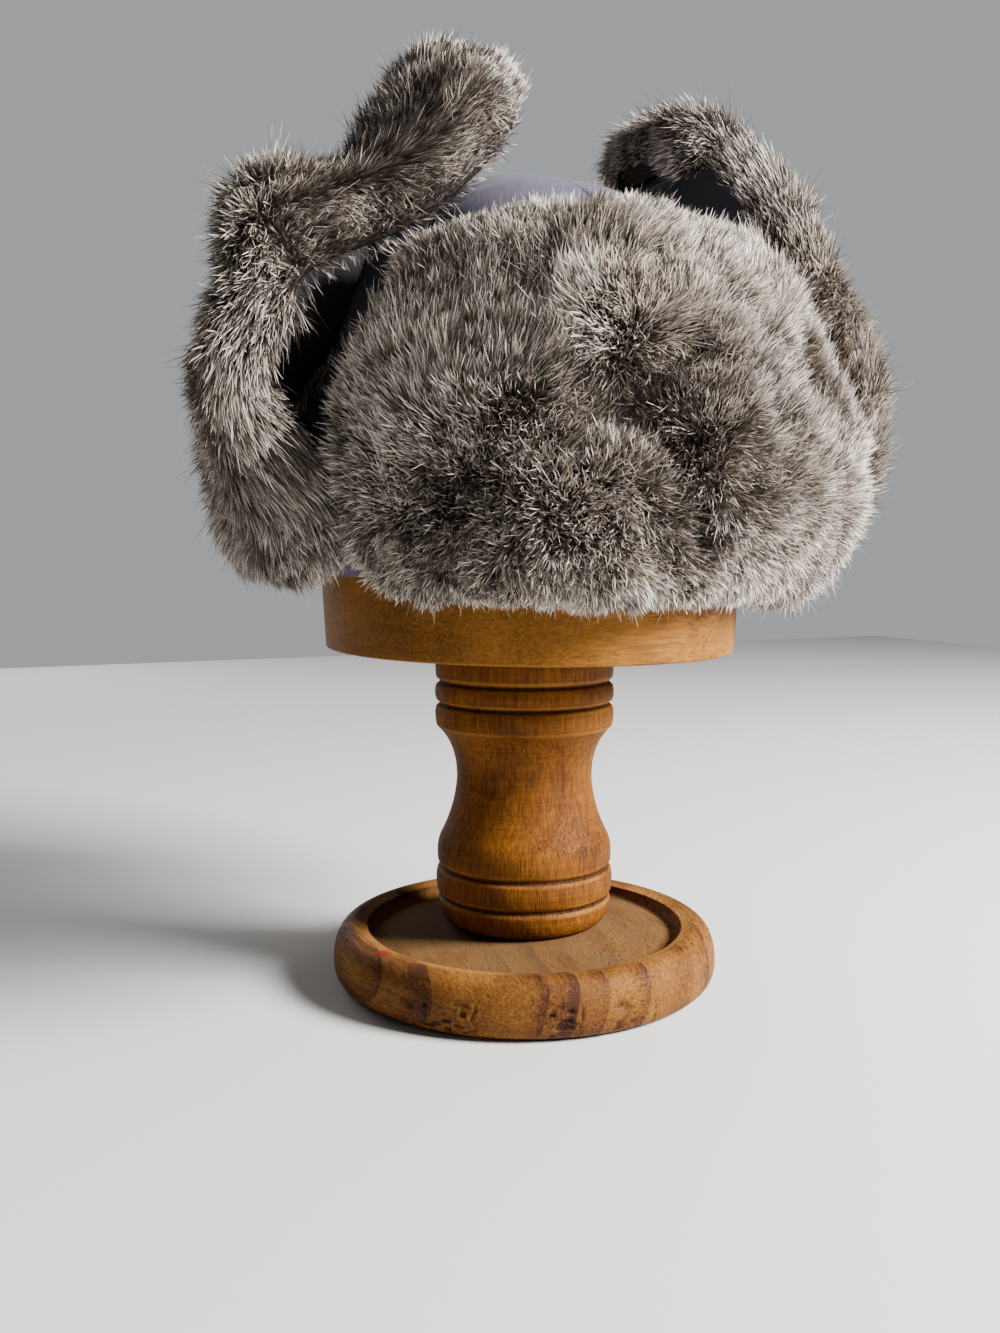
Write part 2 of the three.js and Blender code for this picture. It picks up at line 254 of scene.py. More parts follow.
def corner_map(piece: Piece, name: str, places: Array) -> None:
    """Gives a piece a map with one place for each vertex.

    Args:
        piece: The piece to map.
        name: The map's name.
        places: Two numbers for each vertex.
    """
    corners = np.empty(len(piece.data.loops), dtype=np.int32)
    piece.data.loops.foreach_get("vertex_index", corners)
    layer = piece.data.uv_layers.new(name=name)
    layer.uv.foreach_set("vector", places[corners].astype(np.float32).ravel())


def point_values(piece: Piece, name: str, values: Array) -> None:
    """Stores one number for each vertex of a piece."""
    piece.data.attributes.new(name, "FLOAT", "POINT").data.foreach_set("value", values.astype(np.float32))


# Shader nodes
class Graph:
    """Adds the nodes of one material or node group, and joins them."""

    def __init__(self, tree: bpy.types.NodeTree) -> None:
        """Keeps the tree that the nodes go into."""
        self.tree = tree

    def node(self, kind: str, inputs: dict | None = None, **settings: object) -> bpy.types.Node:
        """Adds a node.

        Args:
            kind: The node's type.
            inputs: A value or another node's output for each named or numbered input.
            **settings: The node's own settings.

        Returns:
            The new node.
        """
        made = self.tree.nodes.new(kind)
        for setting, value in settings.items():
            setattr(made, setting, value)
        for socket, value in (inputs or {}).items():
            self.feed(made.inputs[socket], value)
        return made

    def feed(self, socket: Socket, value: object) -> None:
        """Links an output to an input, or sets the input's own value.

        Args:
            socket: The input.
            value: The output or the value.
        """
        if isinstance(value, Socket):
            self.tree.links.new(value, socket)
        else:
            socket.default_value = value

    def maths(self, operation: str, first: object, second: object = 0.0) -> Socket:
        """Works out one sum.

        Args:
            operation: The sum's name.
            first: The first value or output.
            second: The second value or output.

        Returns:
            The sum's output.
        """
        return self.node("ShaderNodeMath", {0: first, 1: second}, operation=operation).outputs[0]

    def blend(self, share: object, first: object, second: object, way: str = "MIX") -> Socket:
        """Mixes two colours.

        Args:
            share: How much of the second colour.
            first: The first colour or output.
            second: The second colour or output.
            way: The way of mixing.

        Returns:
            The mixed colour.
        """
        socket_share, socket_first, socket_second, socket_result = 0, 6, 7, 2
        mixed = self.node("ShaderNodeMix", data_type="RGBA", blend_type=way)
        for socket, value in ((socket_share, share), (socket_first, first), (socket_second, second)):
            self.feed(mixed.inputs[socket], opaque(value) if isinstance(value, tuple) else value)
        return mixed.outputs[socket_result]

    def ramp(self, share: object, stops: list[tuple[float, Colour]]) -> Socket:
        """Runs through colours.

        Args:
            share: The place in the run.
            stops: A place and its colour, from first to last.

        Returns:
            The colour.
        """
        made = self.node("ShaderNodeValToRGB", {0: share})
        elements = made.color_ramp.elements
        while len(elements) < len(stops):
            elements.new(1.0)
        for element, (place, colour) in zip(elements, stops):
            element.position = place
            element.color = opaque(colour)
        return made.outputs["Color"]

    def span(self, value: object, source: Span, target: Span = (0.0, 1.0)) -> Socket:
        """Carries a range of values to another range, held at both ends.

        Args:
            value: The value or output.
            source: Where the range starts and ends.
            target: What the start and the end become.

        Returns:
            The carried value.
        """
        low, high = source
        to_low, to_high = target
        inputs = {"Value": value, "From Min": low, "From Max": high, "To Min": to_low, "To Max": to_high}
        return self.node("ShaderNodeMapRange", inputs).outputs["Result"]

    def noise(self, places: object, scale: float, detail: float) -> Socket:
        """Draws noise.

        Args:
            places: Where it is drawn.
            scale: How many hills to a metre.
            detail: How many finer layers.

        Returns:
            Heights around one half.
        """
        inputs = {"Vector": places, "Scale": scale, "Detail": detail}
        return self.node("ShaderNodeTexNoise", inputs).outputs["Fac"]

    def noise_along(self, place: object, scale: float, detail: float) -> Socket:
        """Draws noise along a line, with the same values as noise."""
        inputs = {"W": place, "Scale": scale, "Detail": detail}
        return self.node("ShaderNodeTexNoise", inputs, noise_dimensions="1D").outputs["Fac"]

    def vector(self, operation: str, first: object, second: object = (0.0, 0.0, 0.0)) -> Socket:
        """Works out one sum of vectors.

        Args:
            operation: The sum's name.
            first: The first vector or output.
            second: The second vector or output.

        Returns:
            The sum's output, a single value for a length or a distance.
        """
        result = "Value" if operation in ("LENGTH", "DISTANCE") else "Vector"
        return self.node("ShaderNodeVectorMath", {0: first, 1: second}, operation=operation).outputs[result]

    def mark(self, name: str) -> Socket:
        """Reads one of the numbers stored on a piece's vertices."""
        return self.node("ShaderNodeAttribute", attribute_name=name).outputs["Fac"]

    def bump(self, height: object, strength: float, depth: float) -> Socket:
        """Makes a relief, with its depth in millimetres."""
        inputs = {"Height": height, "Strength": strength, "Distance": depth * MM}
        return self.node("ShaderNodeBump", inputs).outputs[0]


def opaque(colour: tuple) -> tuple:
    """Adds a full alpha to a colour."""
    return (*colour[:3], 1.0)


def new_group(
    name: str, inputs: dict[str, str], outputs: list[str]
) -> tuple[bpy.types.NodeTree, Graph, dict[str, Socket]]:
    """Starts a shader node group.

    Args:
        name: The group's name.
        inputs: The type of each named input.
        outputs: The names of its value outputs.

    Returns:
        The group, its graph and its inputs by name.
    """
    tree = bpy.data.node_groups.new(name, "ShaderNodeTree")
    for socket, kind in inputs.items():
        tree.interface.new_socket(socket, in_out="INPUT", socket_type=kind)
    for socket in outputs:
        tree.interface.new_socket(socket, in_out="OUTPUT", socket_type="NodeSocketFloat")
    graph = Graph(tree)
    entry = graph.node("NodeGroupInput")
    return tree, graph, {socket: entry.outputs[socket] for socket in inputs}


def wood_figure() -> bpy.types.NodeTree:
    """Builds the wood effect: growth rings, fibres and pores, with the fibres along Z.

    Returns:
        The node group.
    """
    wander_scale, wander_detail, wander_reach = 11.0, 2.0, (0.03, 0.03, 0.03)
    noise_middle, across_fibres = (0.5, 0.5, 0.5), (1.0, 1.0, 0.0)
    spacing_scale, spacing_detail, spacing_reach = 0.45, 1.0, 2.2
    season_scale, season_span, season_strength, late_wood = 0.83, (0.36, 0.62), (0.15, 1.0), 2.4
    fibre_stretch, fibre_detail = (900.0, 900.0, 75.0), 4.0
    pore_stretch, pore_detail, pore_span = (1500.0, 1500.0, 190.0), 2.0, (0.57, 0.7)
    sockets = {"Vector": "NodeSocketVector", "Ring Width": "NodeSocketFloat"}
    tree, graph, given = new_group("Wood figure", sockets, ["Rings", "Fibres", "Pores"])
    places = given["Vector"]
    wander = {"Vector": places, "Scale": wander_scale, "Detail": wander_detail}
    drift = graph.node("ShaderNodeTexNoise", wander).outputs["Color"]
    shift = graph.vector("MULTIPLY", graph.vector("SUBTRACT", drift, noise_middle), wander_reach)
    flat = graph.vector("MULTIPLY", graph.vector("ADD", places, shift), across_fibres)
    turns = graph.maths("DIVIDE", graph.vector("LENGTH", flat), given["Ring Width"])
    spacing = graph.maths("MULTIPLY", graph.noise_along(turns, spacing_scale, spacing_detail), spacing_reach)
    year = graph.maths("FRACT", graph.maths("ADD", turns, spacing))
    strength = graph.span(graph.noise_along(turns, season_scale, 0.0), season_span, season_strength)
    fibres = graph.noise(graph.vector("MULTIPLY", places, fibre_stretch), 1.0, fibre_detail)
    pores = graph.noise(graph.vector("MULTIPLY", places, pore_stretch), 1.0, pore_detail)
    results = {
        "Rings": graph.maths("MULTIPLY", graph.maths("POWER", year, late_wood), strength),
        "Fibres": fibres,
        "Pores": graph.span(pores, pore_span),
    }
    graph.node("NodeGroupOutput", results)
    return tree


def cloth_weave() -> bpy.types.NodeTree:
    """Builds the cloth effect: the height of crossed threads, and their uneven thickness.

    Returns:
        The node group.
    """
    slub_stretch, slub_detail = (1200.0, 90.0, 1.0), 3.0
    sockets = {"Vector": "NodeSocketVector", "Pitch": "NodeSocketFloat"}
    tree, graph, given = new_group("Cloth weave", sockets, ["Threads", "Slubs"])
    parts = graph.node("ShaderNodeSeparateXYZ", {0: given["Vector"]})
    waves = []
    for axis in ("X", "Y"):
        turns = graph.maths("DIVIDE", parts.outputs[axis], given["Pitch"])
        waves.append(graph.maths("SINE", graph.maths("MULTIPLY", turns, 2 * math.pi)))
    slubs = graph.vector("MULTIPLY", given["Vector"], slub_stretch)
    results = {
        "Threads": graph.span(graph.maths("MULTIPLY", *waves), (-1.0, 1.0)),
        "Slubs": graph.noise(slubs, 1.0, slub_detail),
    }
    graph.node("NodeGroupOutput", results)
    return tree


class Effect(Enum):
    """Effects that more than one finish uses."""

    WOOD_FIGURE = "Wood figure"
    CLOTH_WEAVE = "Cloth weave"

    def tree(self) -> bpy.types.NodeTree:
        """Gives the effect's node group, built the first time it is asked for.

        Returns:
            The node group.
        """
        if self.value not in bpy.data.node_groups:
            {Effect.WOOD_FIGURE: wood_figure, Effect.CLOTH_WEAVE: cloth_weave}[self]()
        return bpy.data.node_groups[self.value]


class Grain(Enum):
    """The way a piece of wood was cut, as turns in degrees that bring its fibres along Z."""

    UPRIGHT = (0.0, 0.0, 0.0)
    LENGTHWISE = (90.0, 0.0, 0.0)
    CROSSWISE = (0.0, 90.0, 0.0)


# Finishes
def start_material(name: str) -> tuple[bpy.types.Material, Graph, bpy.types.Node]:
    """Starts a material.

    Args:
        name: The material's name.

    Returns:
        The material, its graph and its shader.
    """
    material = bpy.data.materials.new(name)
    material.use_nodes = True
    graph = Graph(material.node_tree)
    return material, graph, material.node_tree.nodes["Principled BSDF"]


@dataclass(frozen=True)
class Stain:
    """A small mark on the wood, with its place and its reach in millimetres."""

    place: tuple[float, float, float]
    reach: float
    colour: Colour


@dataclass(frozen=True)
class WoodFinish:
    """Turned wood, oiled and worn."""

    name: str
    slot: str
    grain: Grain
    pith: tuple[float, float, float]
    ring_width: float
    dark: Colour
    middle: Colour
    light: Colour
    worn: Colour
    hollow_colour: Colour
    ring_share: float
    pitting: float
    roughness: tuple[float, float]
    flecks: float = 0.0
    tooling: float = 0.05
    dust: Colour = (0.11, 0.062, 0.025)
    stains: tuple[Stain, ...] = ()
    fibre_share: float = 0.52
    blotch_share: float = 0.48
    pit_share: float = 0.7
    hollow_share: float = 0.85
    rub_share: Span = (0.15, 0.8)
    dust_share: Span = (0.4, 0.8)
    dust_dullness: float = 0.6
    specular: float = 0.09
    tooling_relief: float = 8.0
    relief_share: float = 0.35
    bump_strength: float = 0.7
    bump_depth: float = 0.6

    def material(self) -> bpy.types.Material:
        """Builds the material.

        Returns:
            The wood material, in the part's own coordinates.
        """
        blotch_scale, blotch_detail = 30.0, 4.0
        lathe_stretch, lathe_detail = (40.0, 40.0, 900.0), 3.0
        dull_span = (0.35, 0.9)
        material, graph, shader = start_material(self.name)
        places = graph.node("ShaderNodeTexCoord").outputs["Object"]
        figure = self._figure(graph, places)
        blotch = graph.noise(places, blotch_scale, blotch_detail)
        lathe = graph.noise(graph.vector("MULTIPLY", places, lathe_stretch), 1.0, lathe_detail)
        pits = self._pits(graph, places, figure["Pores"])
        dust = self._dust_cover(graph, places)
        colour = self._clean_colour(graph, figure, blotch, lathe)
        colour = graph.blend(graph.maths("MULTIPLY", pits, self.pit_share), colour, self.hollow_colour)
        # Darkens the colour in the outline's grooves and in the chips.
        colour = graph.blend(graph.maths("MULTIPLY", graph.mark(HOLLOWS), self.hollow_share), colour, self.hollow_colour)
        colour = self._rubbed(graph, blotch, colour)
        for stain in self.stains:
            colour = self._stained(graph, places, stain, colour)
        graph.feed(shader.inputs["Base Color"], graph.blend(dust, colour, self.dust))
        dusty = graph.maths("MULTIPLY", dust, self.dust_dullness)
        dull = graph.maths("ADD", graph.maths("ADD", blotch, pits), dusty)
        graph.feed(shader.inputs["Roughness"], graph.span(dull, dull_span, self.roughness))
        shader.inputs["Specular IOR Level"].default_value = self.specular
        tooled = graph.maths("MULTIPLY", lathe, self.tooling_relief * self.tooling)
        relief = graph.maths("MULTIPLY", graph.maths("ADD", figure["Fibres"], tooled), self.relief_share)
        height = graph.maths("SUBTRACT", relief, pits)
        graph.feed(shader.inputs["Normal"], graph.bump(height, self.bump_strength, self.bump_depth))
        return material

    def _figure(self, graph: Graph, places: Socket) -> bpy.types.bpy_prop_collection:
        """Places the wood effect, turned the way the piece was cut.

        Args:
            graph: The material's graph.
            places: The part's coordinates.

        Returns:
            The effect's outputs.
        """
        turn = Euler([math.radians(angle) for angle in self.grain.value])
        shift = Vector(self.pith) * MM
        cut = graph.node("ShaderNodeMapping", {"Vector": places, "Rotation": turn, "Location": shift})
        figure = graph.node("ShaderNodeGroup", node_tree=Effect.WOOD_FIGURE.tree())
        graph.feed(figure.inputs["Vector"], cut.outputs[0])
        graph.feed(figure.inputs["Ring Width"], self.ring_width * MM)
        return figure.outputs

    def _clean_colour(
        self, graph: Graph, figure: bpy.types.bpy_prop_collection, blotch: Socket, lathe: Socket
    ) -> Socket:
        """Colours the wood by its fibres, blotches, rings and lathe lines.

        Args:
            graph: The material's graph.
            figure: The wood effect's outputs.
            blotch: Broad noise.
            lathe: The lines that the lathe leaves.

        Returns:
            The colour of clean wood.
        """
        fibre_span, noise_span = (0.25, 0.75), (0.3, 0.7)
        dark_tone, middle_tone, light_tone = 0.05, 0.45, 0.85
        fibres = graph.span(figure["Fibres"], fibre_span, (0.0, self.fibre_share))
        tone = graph.maths("ADD", fibres, graph.span(blotch, noise_span, (0.0, self.blotch_share)))
        tone = graph.maths("SUBTRACT", tone, graph.maths("MULTIPLY", figure["Rings"], self.ring_share))
        tone = graph.maths("ADD", tone, graph.span(lathe, noise_span, (-self.tooling, self.tooling)))
        stops = [(dark_tone, self.dark), (middle_tone, self.middle), (light_tone, self.light)]
        return graph.ramp(tone, stops)

    def _rubbed(self, graph: Graph, blotch: Socket, colour: Socket) -> Socket:
        """Rubs the worn edges pale, here more and there less.

        Args:
            graph: The material's graph.
            blotch: Broad noise.
            colour: The colour so far.

        Returns:
            The colour with its worn edges.
        """
        blotch_span = (0.4, 0.62)
        rubbed = graph.maths("MULTIPLY", graph.mark(WEAR), graph.span(blotch, blotch_span, self.rub_share))
        return graph.blend(rubbed, colour, self.worn)

    def _stained(self, graph: Graph, places: Socket, stain: Stain, colour: Socket) -> Socket:
        """Lays a stain with a ragged edge over the colour.

        Args:
            graph: The material's graph.
            places: The part's coordinates.
            stain: The stain.
            colour: The colour so far.

        Returns:
            The colour with the stain.
        """
        rag_scale, rag_detail, rag_share, noise_span = 500.0, 2.0, 0.5, (0.3, 0.7)
        solid_share, cover = 0.7, 0.85
        reach = stain.reach * MM
        away = graph.vector("DISTANCE", places, Vector(stain.place) * MM)
        rags = graph.noise(places, rag_scale, rag_detail)
        ragged = graph.span(rags, noise_span, (-rag_share * reach, rag_share * reach))
        near = graph.maths("ADD", away, ragged)
        return graph.blend(graph.span(near, (solid_share * reach, reach), (cover, 0.0)), colour, stain.colour)

    def _dust_cover(self, graph: Graph, places: Socket) -> Socket:
        """Gives how much dust lies on the wood, swept unevenly.

        Args:
            graph: The material's graph.
            places: The part's coordinates.

        Returns:
            The dust's share of the colour.
        """
        sweep_scale, sweep_detail, sweep_span = 55.0, 5.0, (0.35, 0.65)
        swept = graph.span(graph.noise(places, sweep_scale, sweep_detail), sweep_span, self.dust_share)
        return graph.maths("MULTIPLY", graph.mark(DUST), swept)

    def _pits(self, graph: Graph, places: Socket, pores: Socket) -> Socket:
        """Marks the pores, and the rough patches where the surface is picked out.

        Args:
            graph: The material's graph.
            places: The part's coordinates.
            pores: The wood's pores.

        Returns:
            The mask of pits.
        """
        speck_scale, speck_span = 420.0, (0.55, 0.66)
        patch_scale, patch_span = 24.0, (0.52, 0.68)
        detail, cut_span, side_pores = 2.0, (0.1, 0.6), 0.35
        specks = graph.span(graph.noise(places, speck_scale, detail), speck_span)
        patches = graph.span(graph.noise(places, patch_scale, detail), patch_span, (0.0, self.pitting))
        rough = graph.maths("MULTIPLY", specks, graph.maths("MAXIMUM", patches, graph.mark(HOLLOWS)))
        open_pores = graph.span(graph.mark(END_GRAIN), cut_span, (side_pores, side_pores + self.flecks))
        return graph.maths("MAXIMUM", rough, graph.maths("MULTIPLY", pores, open_pores))


@dataclass(frozen=True)
class ClothFinish:
    """Soft woven cloth with a faded nap."""

    name: str
    slot: str
    colour: Colour
    faded: Colour
    pitch: float
    slub_shade: Span = (0.72, 1.18)
    thread_shade: Span = (0.8, 1.08)
    roughness: Span = (0.78, 0.92)
    sheen: float = 0.1
    sheen_roughness: float = 0.45
    specular: float = 0.25
    bump_strength: float = 0.35
    bump_depth: float = 0.15

    def material(self) -> bpy.types.Material:
        """Builds the material.

        Returns:
            The cloth material, woven along the piece's cloth map.
        """
        fade_scale, fade_detail, fade_span, slub_span = 45.0, 4.0, (0.35, 0.7), (0.3, 0.7)
        material, graph, shader = start_material(self.name)
        cloth = graph.node("ShaderNodeUVMap", uv_map=CLOTH_MAP).outputs[0]
        weave = graph.node("ShaderNodeGroup", node_tree=Effect.CLOTH_WEAVE.tree())
        graph.feed(weave.inputs["Vector"], cloth)
        graph.feed(weave.inputs["Pitch"], self.pitch * MM)
        threads, slubs = weave.outputs["Threads"], weave.outputs["Slubs"]
        places = graph.node("ShaderNodeTexCoord").outputs["Object"]
        fade = graph.span(graph.noise(places, fade_scale, fade_detail), fade_span)
        colour = graph.blend(fade, self.colour, self.faded)
        slub = graph.span(slubs, slub_span, self.slub_shade)
        shade = graph.maths("MULTIPLY", slub, graph.span(threads, (0.0, 1.0), self.thread_shade))
        shade_colour = graph.node("ShaderNodeCombineColor", {0: shade, 1: shade, 2: shade}).outputs[0]
        graph.feed(shader.inputs["Base Color"], graph.blend(1.0, colour, shade_colour, "MULTIPLY"))
        graph.feed(shader.inputs["Roughness"], graph.span(fade, (0.0, 1.0), self.roughness))
        shader.inputs["Sheen Weight"].default_value = self.sheen
        shader.inputs["Sheen Roughness"].default_value = self.sheen_roughness
        shader.inputs["Specular IOR Level"].default_value = self.specular
        height = graph.maths("ADD", threads, slubs)
        graph.feed(shader.inputs["Normal"], graph.bump(height, self.bump_strength, self.bump_depth))
        return material


@dataclass(frozen=True)
class FurFinish:
    """Rabbit hair, dark at the root and pale at the tip."""

    name: str
    slot: str
    pale_hair: list[tuple[float, Colour]]
    dark_hair: list[tuple[float, Colour]]
    roughness: Span = (0.7, 0.38)
    specular: float = 0.45

    def material(self) -> bpy.types.Material:
        """Builds the material.

        Returns:
            The hair material. The bake map runs along a hair one way, and from dark to pale hairs the other.
        """
        material, graph, shader = start_material(self.name)
        hair = graph.node("ShaderNodeUVMap", uv_map=BAKE_MAP).outputs[0]
        parts = graph.node("ShaderNodeSeparateXYZ", {0: hair})
        pale = graph.ramp(parts.outputs["X"], self.pale_hair)
        dark = graph.ramp(parts.outputs["X"], self.dark_hair)
        graph.feed(shader.inputs["Base Color"], graph.blend(parts.outputs["Y"], dark, pale))
        graph.feed(shader.inputs["Roughness"], graph.span(parts.outputs["X"], (0.0, 1.0), self.roughness))
        shader.inputs["Specular IOR Level"].default_value = self.specular
        return material


@dataclass(frozen=True)
class HideFinish:
    """The dense undercoat below the hairs."""

    name: str
    slot: str
    deep: Colour
    soft: Colour
    roughness: Span = (0.85, 1.0)
    specular: float = 0.1
    bump_strength: float = 0.8
    bump_depth: float = 1.0

    def material(self) -> bpy.types.Material:
        """Builds the material.

        Returns:
            The undercoat material, in the part's own coordinates.
        """
        fluff_scale, fluff_detail, fluff_span, deep_tone, soft_tone = 700.0, 4.0, (0.3, 0.7), 0.35, 0.68
        material, graph, shader = start_material(self.name)
        places = graph.node("ShaderNodeTexCoord").outputs["Object"]
        fluff = graph.noise(places, fluff_scale, fluff_detail)
        colour = graph.ramp(fluff, [(deep_tone, self.deep), (soft_tone, self.soft)])
        graph.feed(shader.inputs["Base Color"], colour)
        graph.feed(shader.inputs["Roughness"], graph.span(fluff, fluff_span, self.roughness))
        shader.inputs["Specular IOR Level"].default_value = self.specular
        graph.feed(shader.inputs["Normal"], graph.bump(fluff, self.bump_strength, self.bump_depth))
        return material


@dataclass(frozen=True)
class FloorFinish:
    """A pale matt floor."""

    name: str
    colour: Colour
    roughness: Span = (0.8, 0.9)

    def material(self) -> bpy.types.Material:
        """Builds the material.

        Returns:
            The floor material.
        """
        cloud_scale, cloud_detail, cloud_span = 3.0, 2.0, (0.3, 0.7)
        material, graph, shader = start_material(self.name)
        places = graph.node("ShaderNodeTexCoord").outputs["Object"]
        clouds = graph.noise(places, cloud_scale, cloud_detail)
        graph.feed(shader.inputs["Roughness"], graph.span(clouds, cloud_span, self.roughness))
        shader.inputs["Base Color"].default_value = opaque(self.colour)
        return material


def dress(piece: Piece, finish: WoodFinish | ClothFinish | FurFinish | HideFinish, *nodes: str) -> None:
    """Gives a piece its finish and hides the solids that it stands for.

    Args:
        piece: The piece to dress.
        finish: The finish, one of the classes above.
        *nodes: The solids that the piece replaces, if any.
    """
    material = bpy.data.materials.get(finish.name) or finish.material()
    piece.data.materials.append(material)
    if nodes:
        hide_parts(*nodes)
    piece.data.calc_loop_triangles()
    LOG.info("%s: %d triangles", piece.name, len(piece.data.loop_triangles))


# The wooden stand
@dataclass(frozen=True)
class TurnPoint:
    """One point of a turned outline, with a pull where the outline reaches it in a round stretch."""

    radius: float
    height: float
    pull_radius: float | None = None
    pull_height: float | None = None


def turned_outline(points: list[TurnPoint], steps: int) -> Array:
    """Runs through the points of an outline.

    Args:
        points: The outline from the foot to the top.
        steps: How many steps a round stretch has.

    Returns:
        A radius and a height for each place on the outline.
    """
    outline = [np.array([points[0].radius, points[0].height])]
    for point in points[1:]:
        start, end = outline[-1], np.array([point.radius, point.height])
        if point.pull_radius is None:
            outline.append(end)
            continue
        pull = np.array([point.pull_radius, point.pull_height])
        for share in np.linspace(0.0, 1.0, steps + 1)[1:]:
            outline.append(start * (1 - share) ** 2 + pull * 2 * share * (1 - share) + end * share ** 2)
    return np.array(outline)


def softened(outline: Array, reach: float, sharpest: float) -> tuple[Array, Array]:
    """Rounds the corners of an outline.

    Args:
        outline: A radius and a height for each place.
        reach: How far along the outline a corner is rounded.
        sharpest: The turn in radians that an outline may have without being rounded.

    Returns:
        The rounded outline, and how sharply it turned at each place, above zero where it stands out.
    """
    longest_share = 0.4
    places, turns = [outline[0]], [0.0]
    for before, corner, after in zip(outline[:-2], outline[1:-1], outline[2:]):
        arrive, leave = corner - before, after - corner
        turn = math.atan2(arrive[0] * leave[1] - arrive[1] * leave[0], float(arrive @ leave))
        if abs(turn) < sharpest:
            places.append(corner)
            turns.append(0.0)
            continue
        start = corner - arrive * min(reach / max(np.linalg.norm(arrive), TINY), longest_share)
        end = corner + leave * min(reach / max(np.linalg.norm(leave), TINY), longest_share)
        places += [start, (start + 2 * corner + end) / 4, end]
        turns += [turn / 2, turn, turn / 2]
    return np.array([*places, outline[-1]]), np.array([*turns, 0.0])


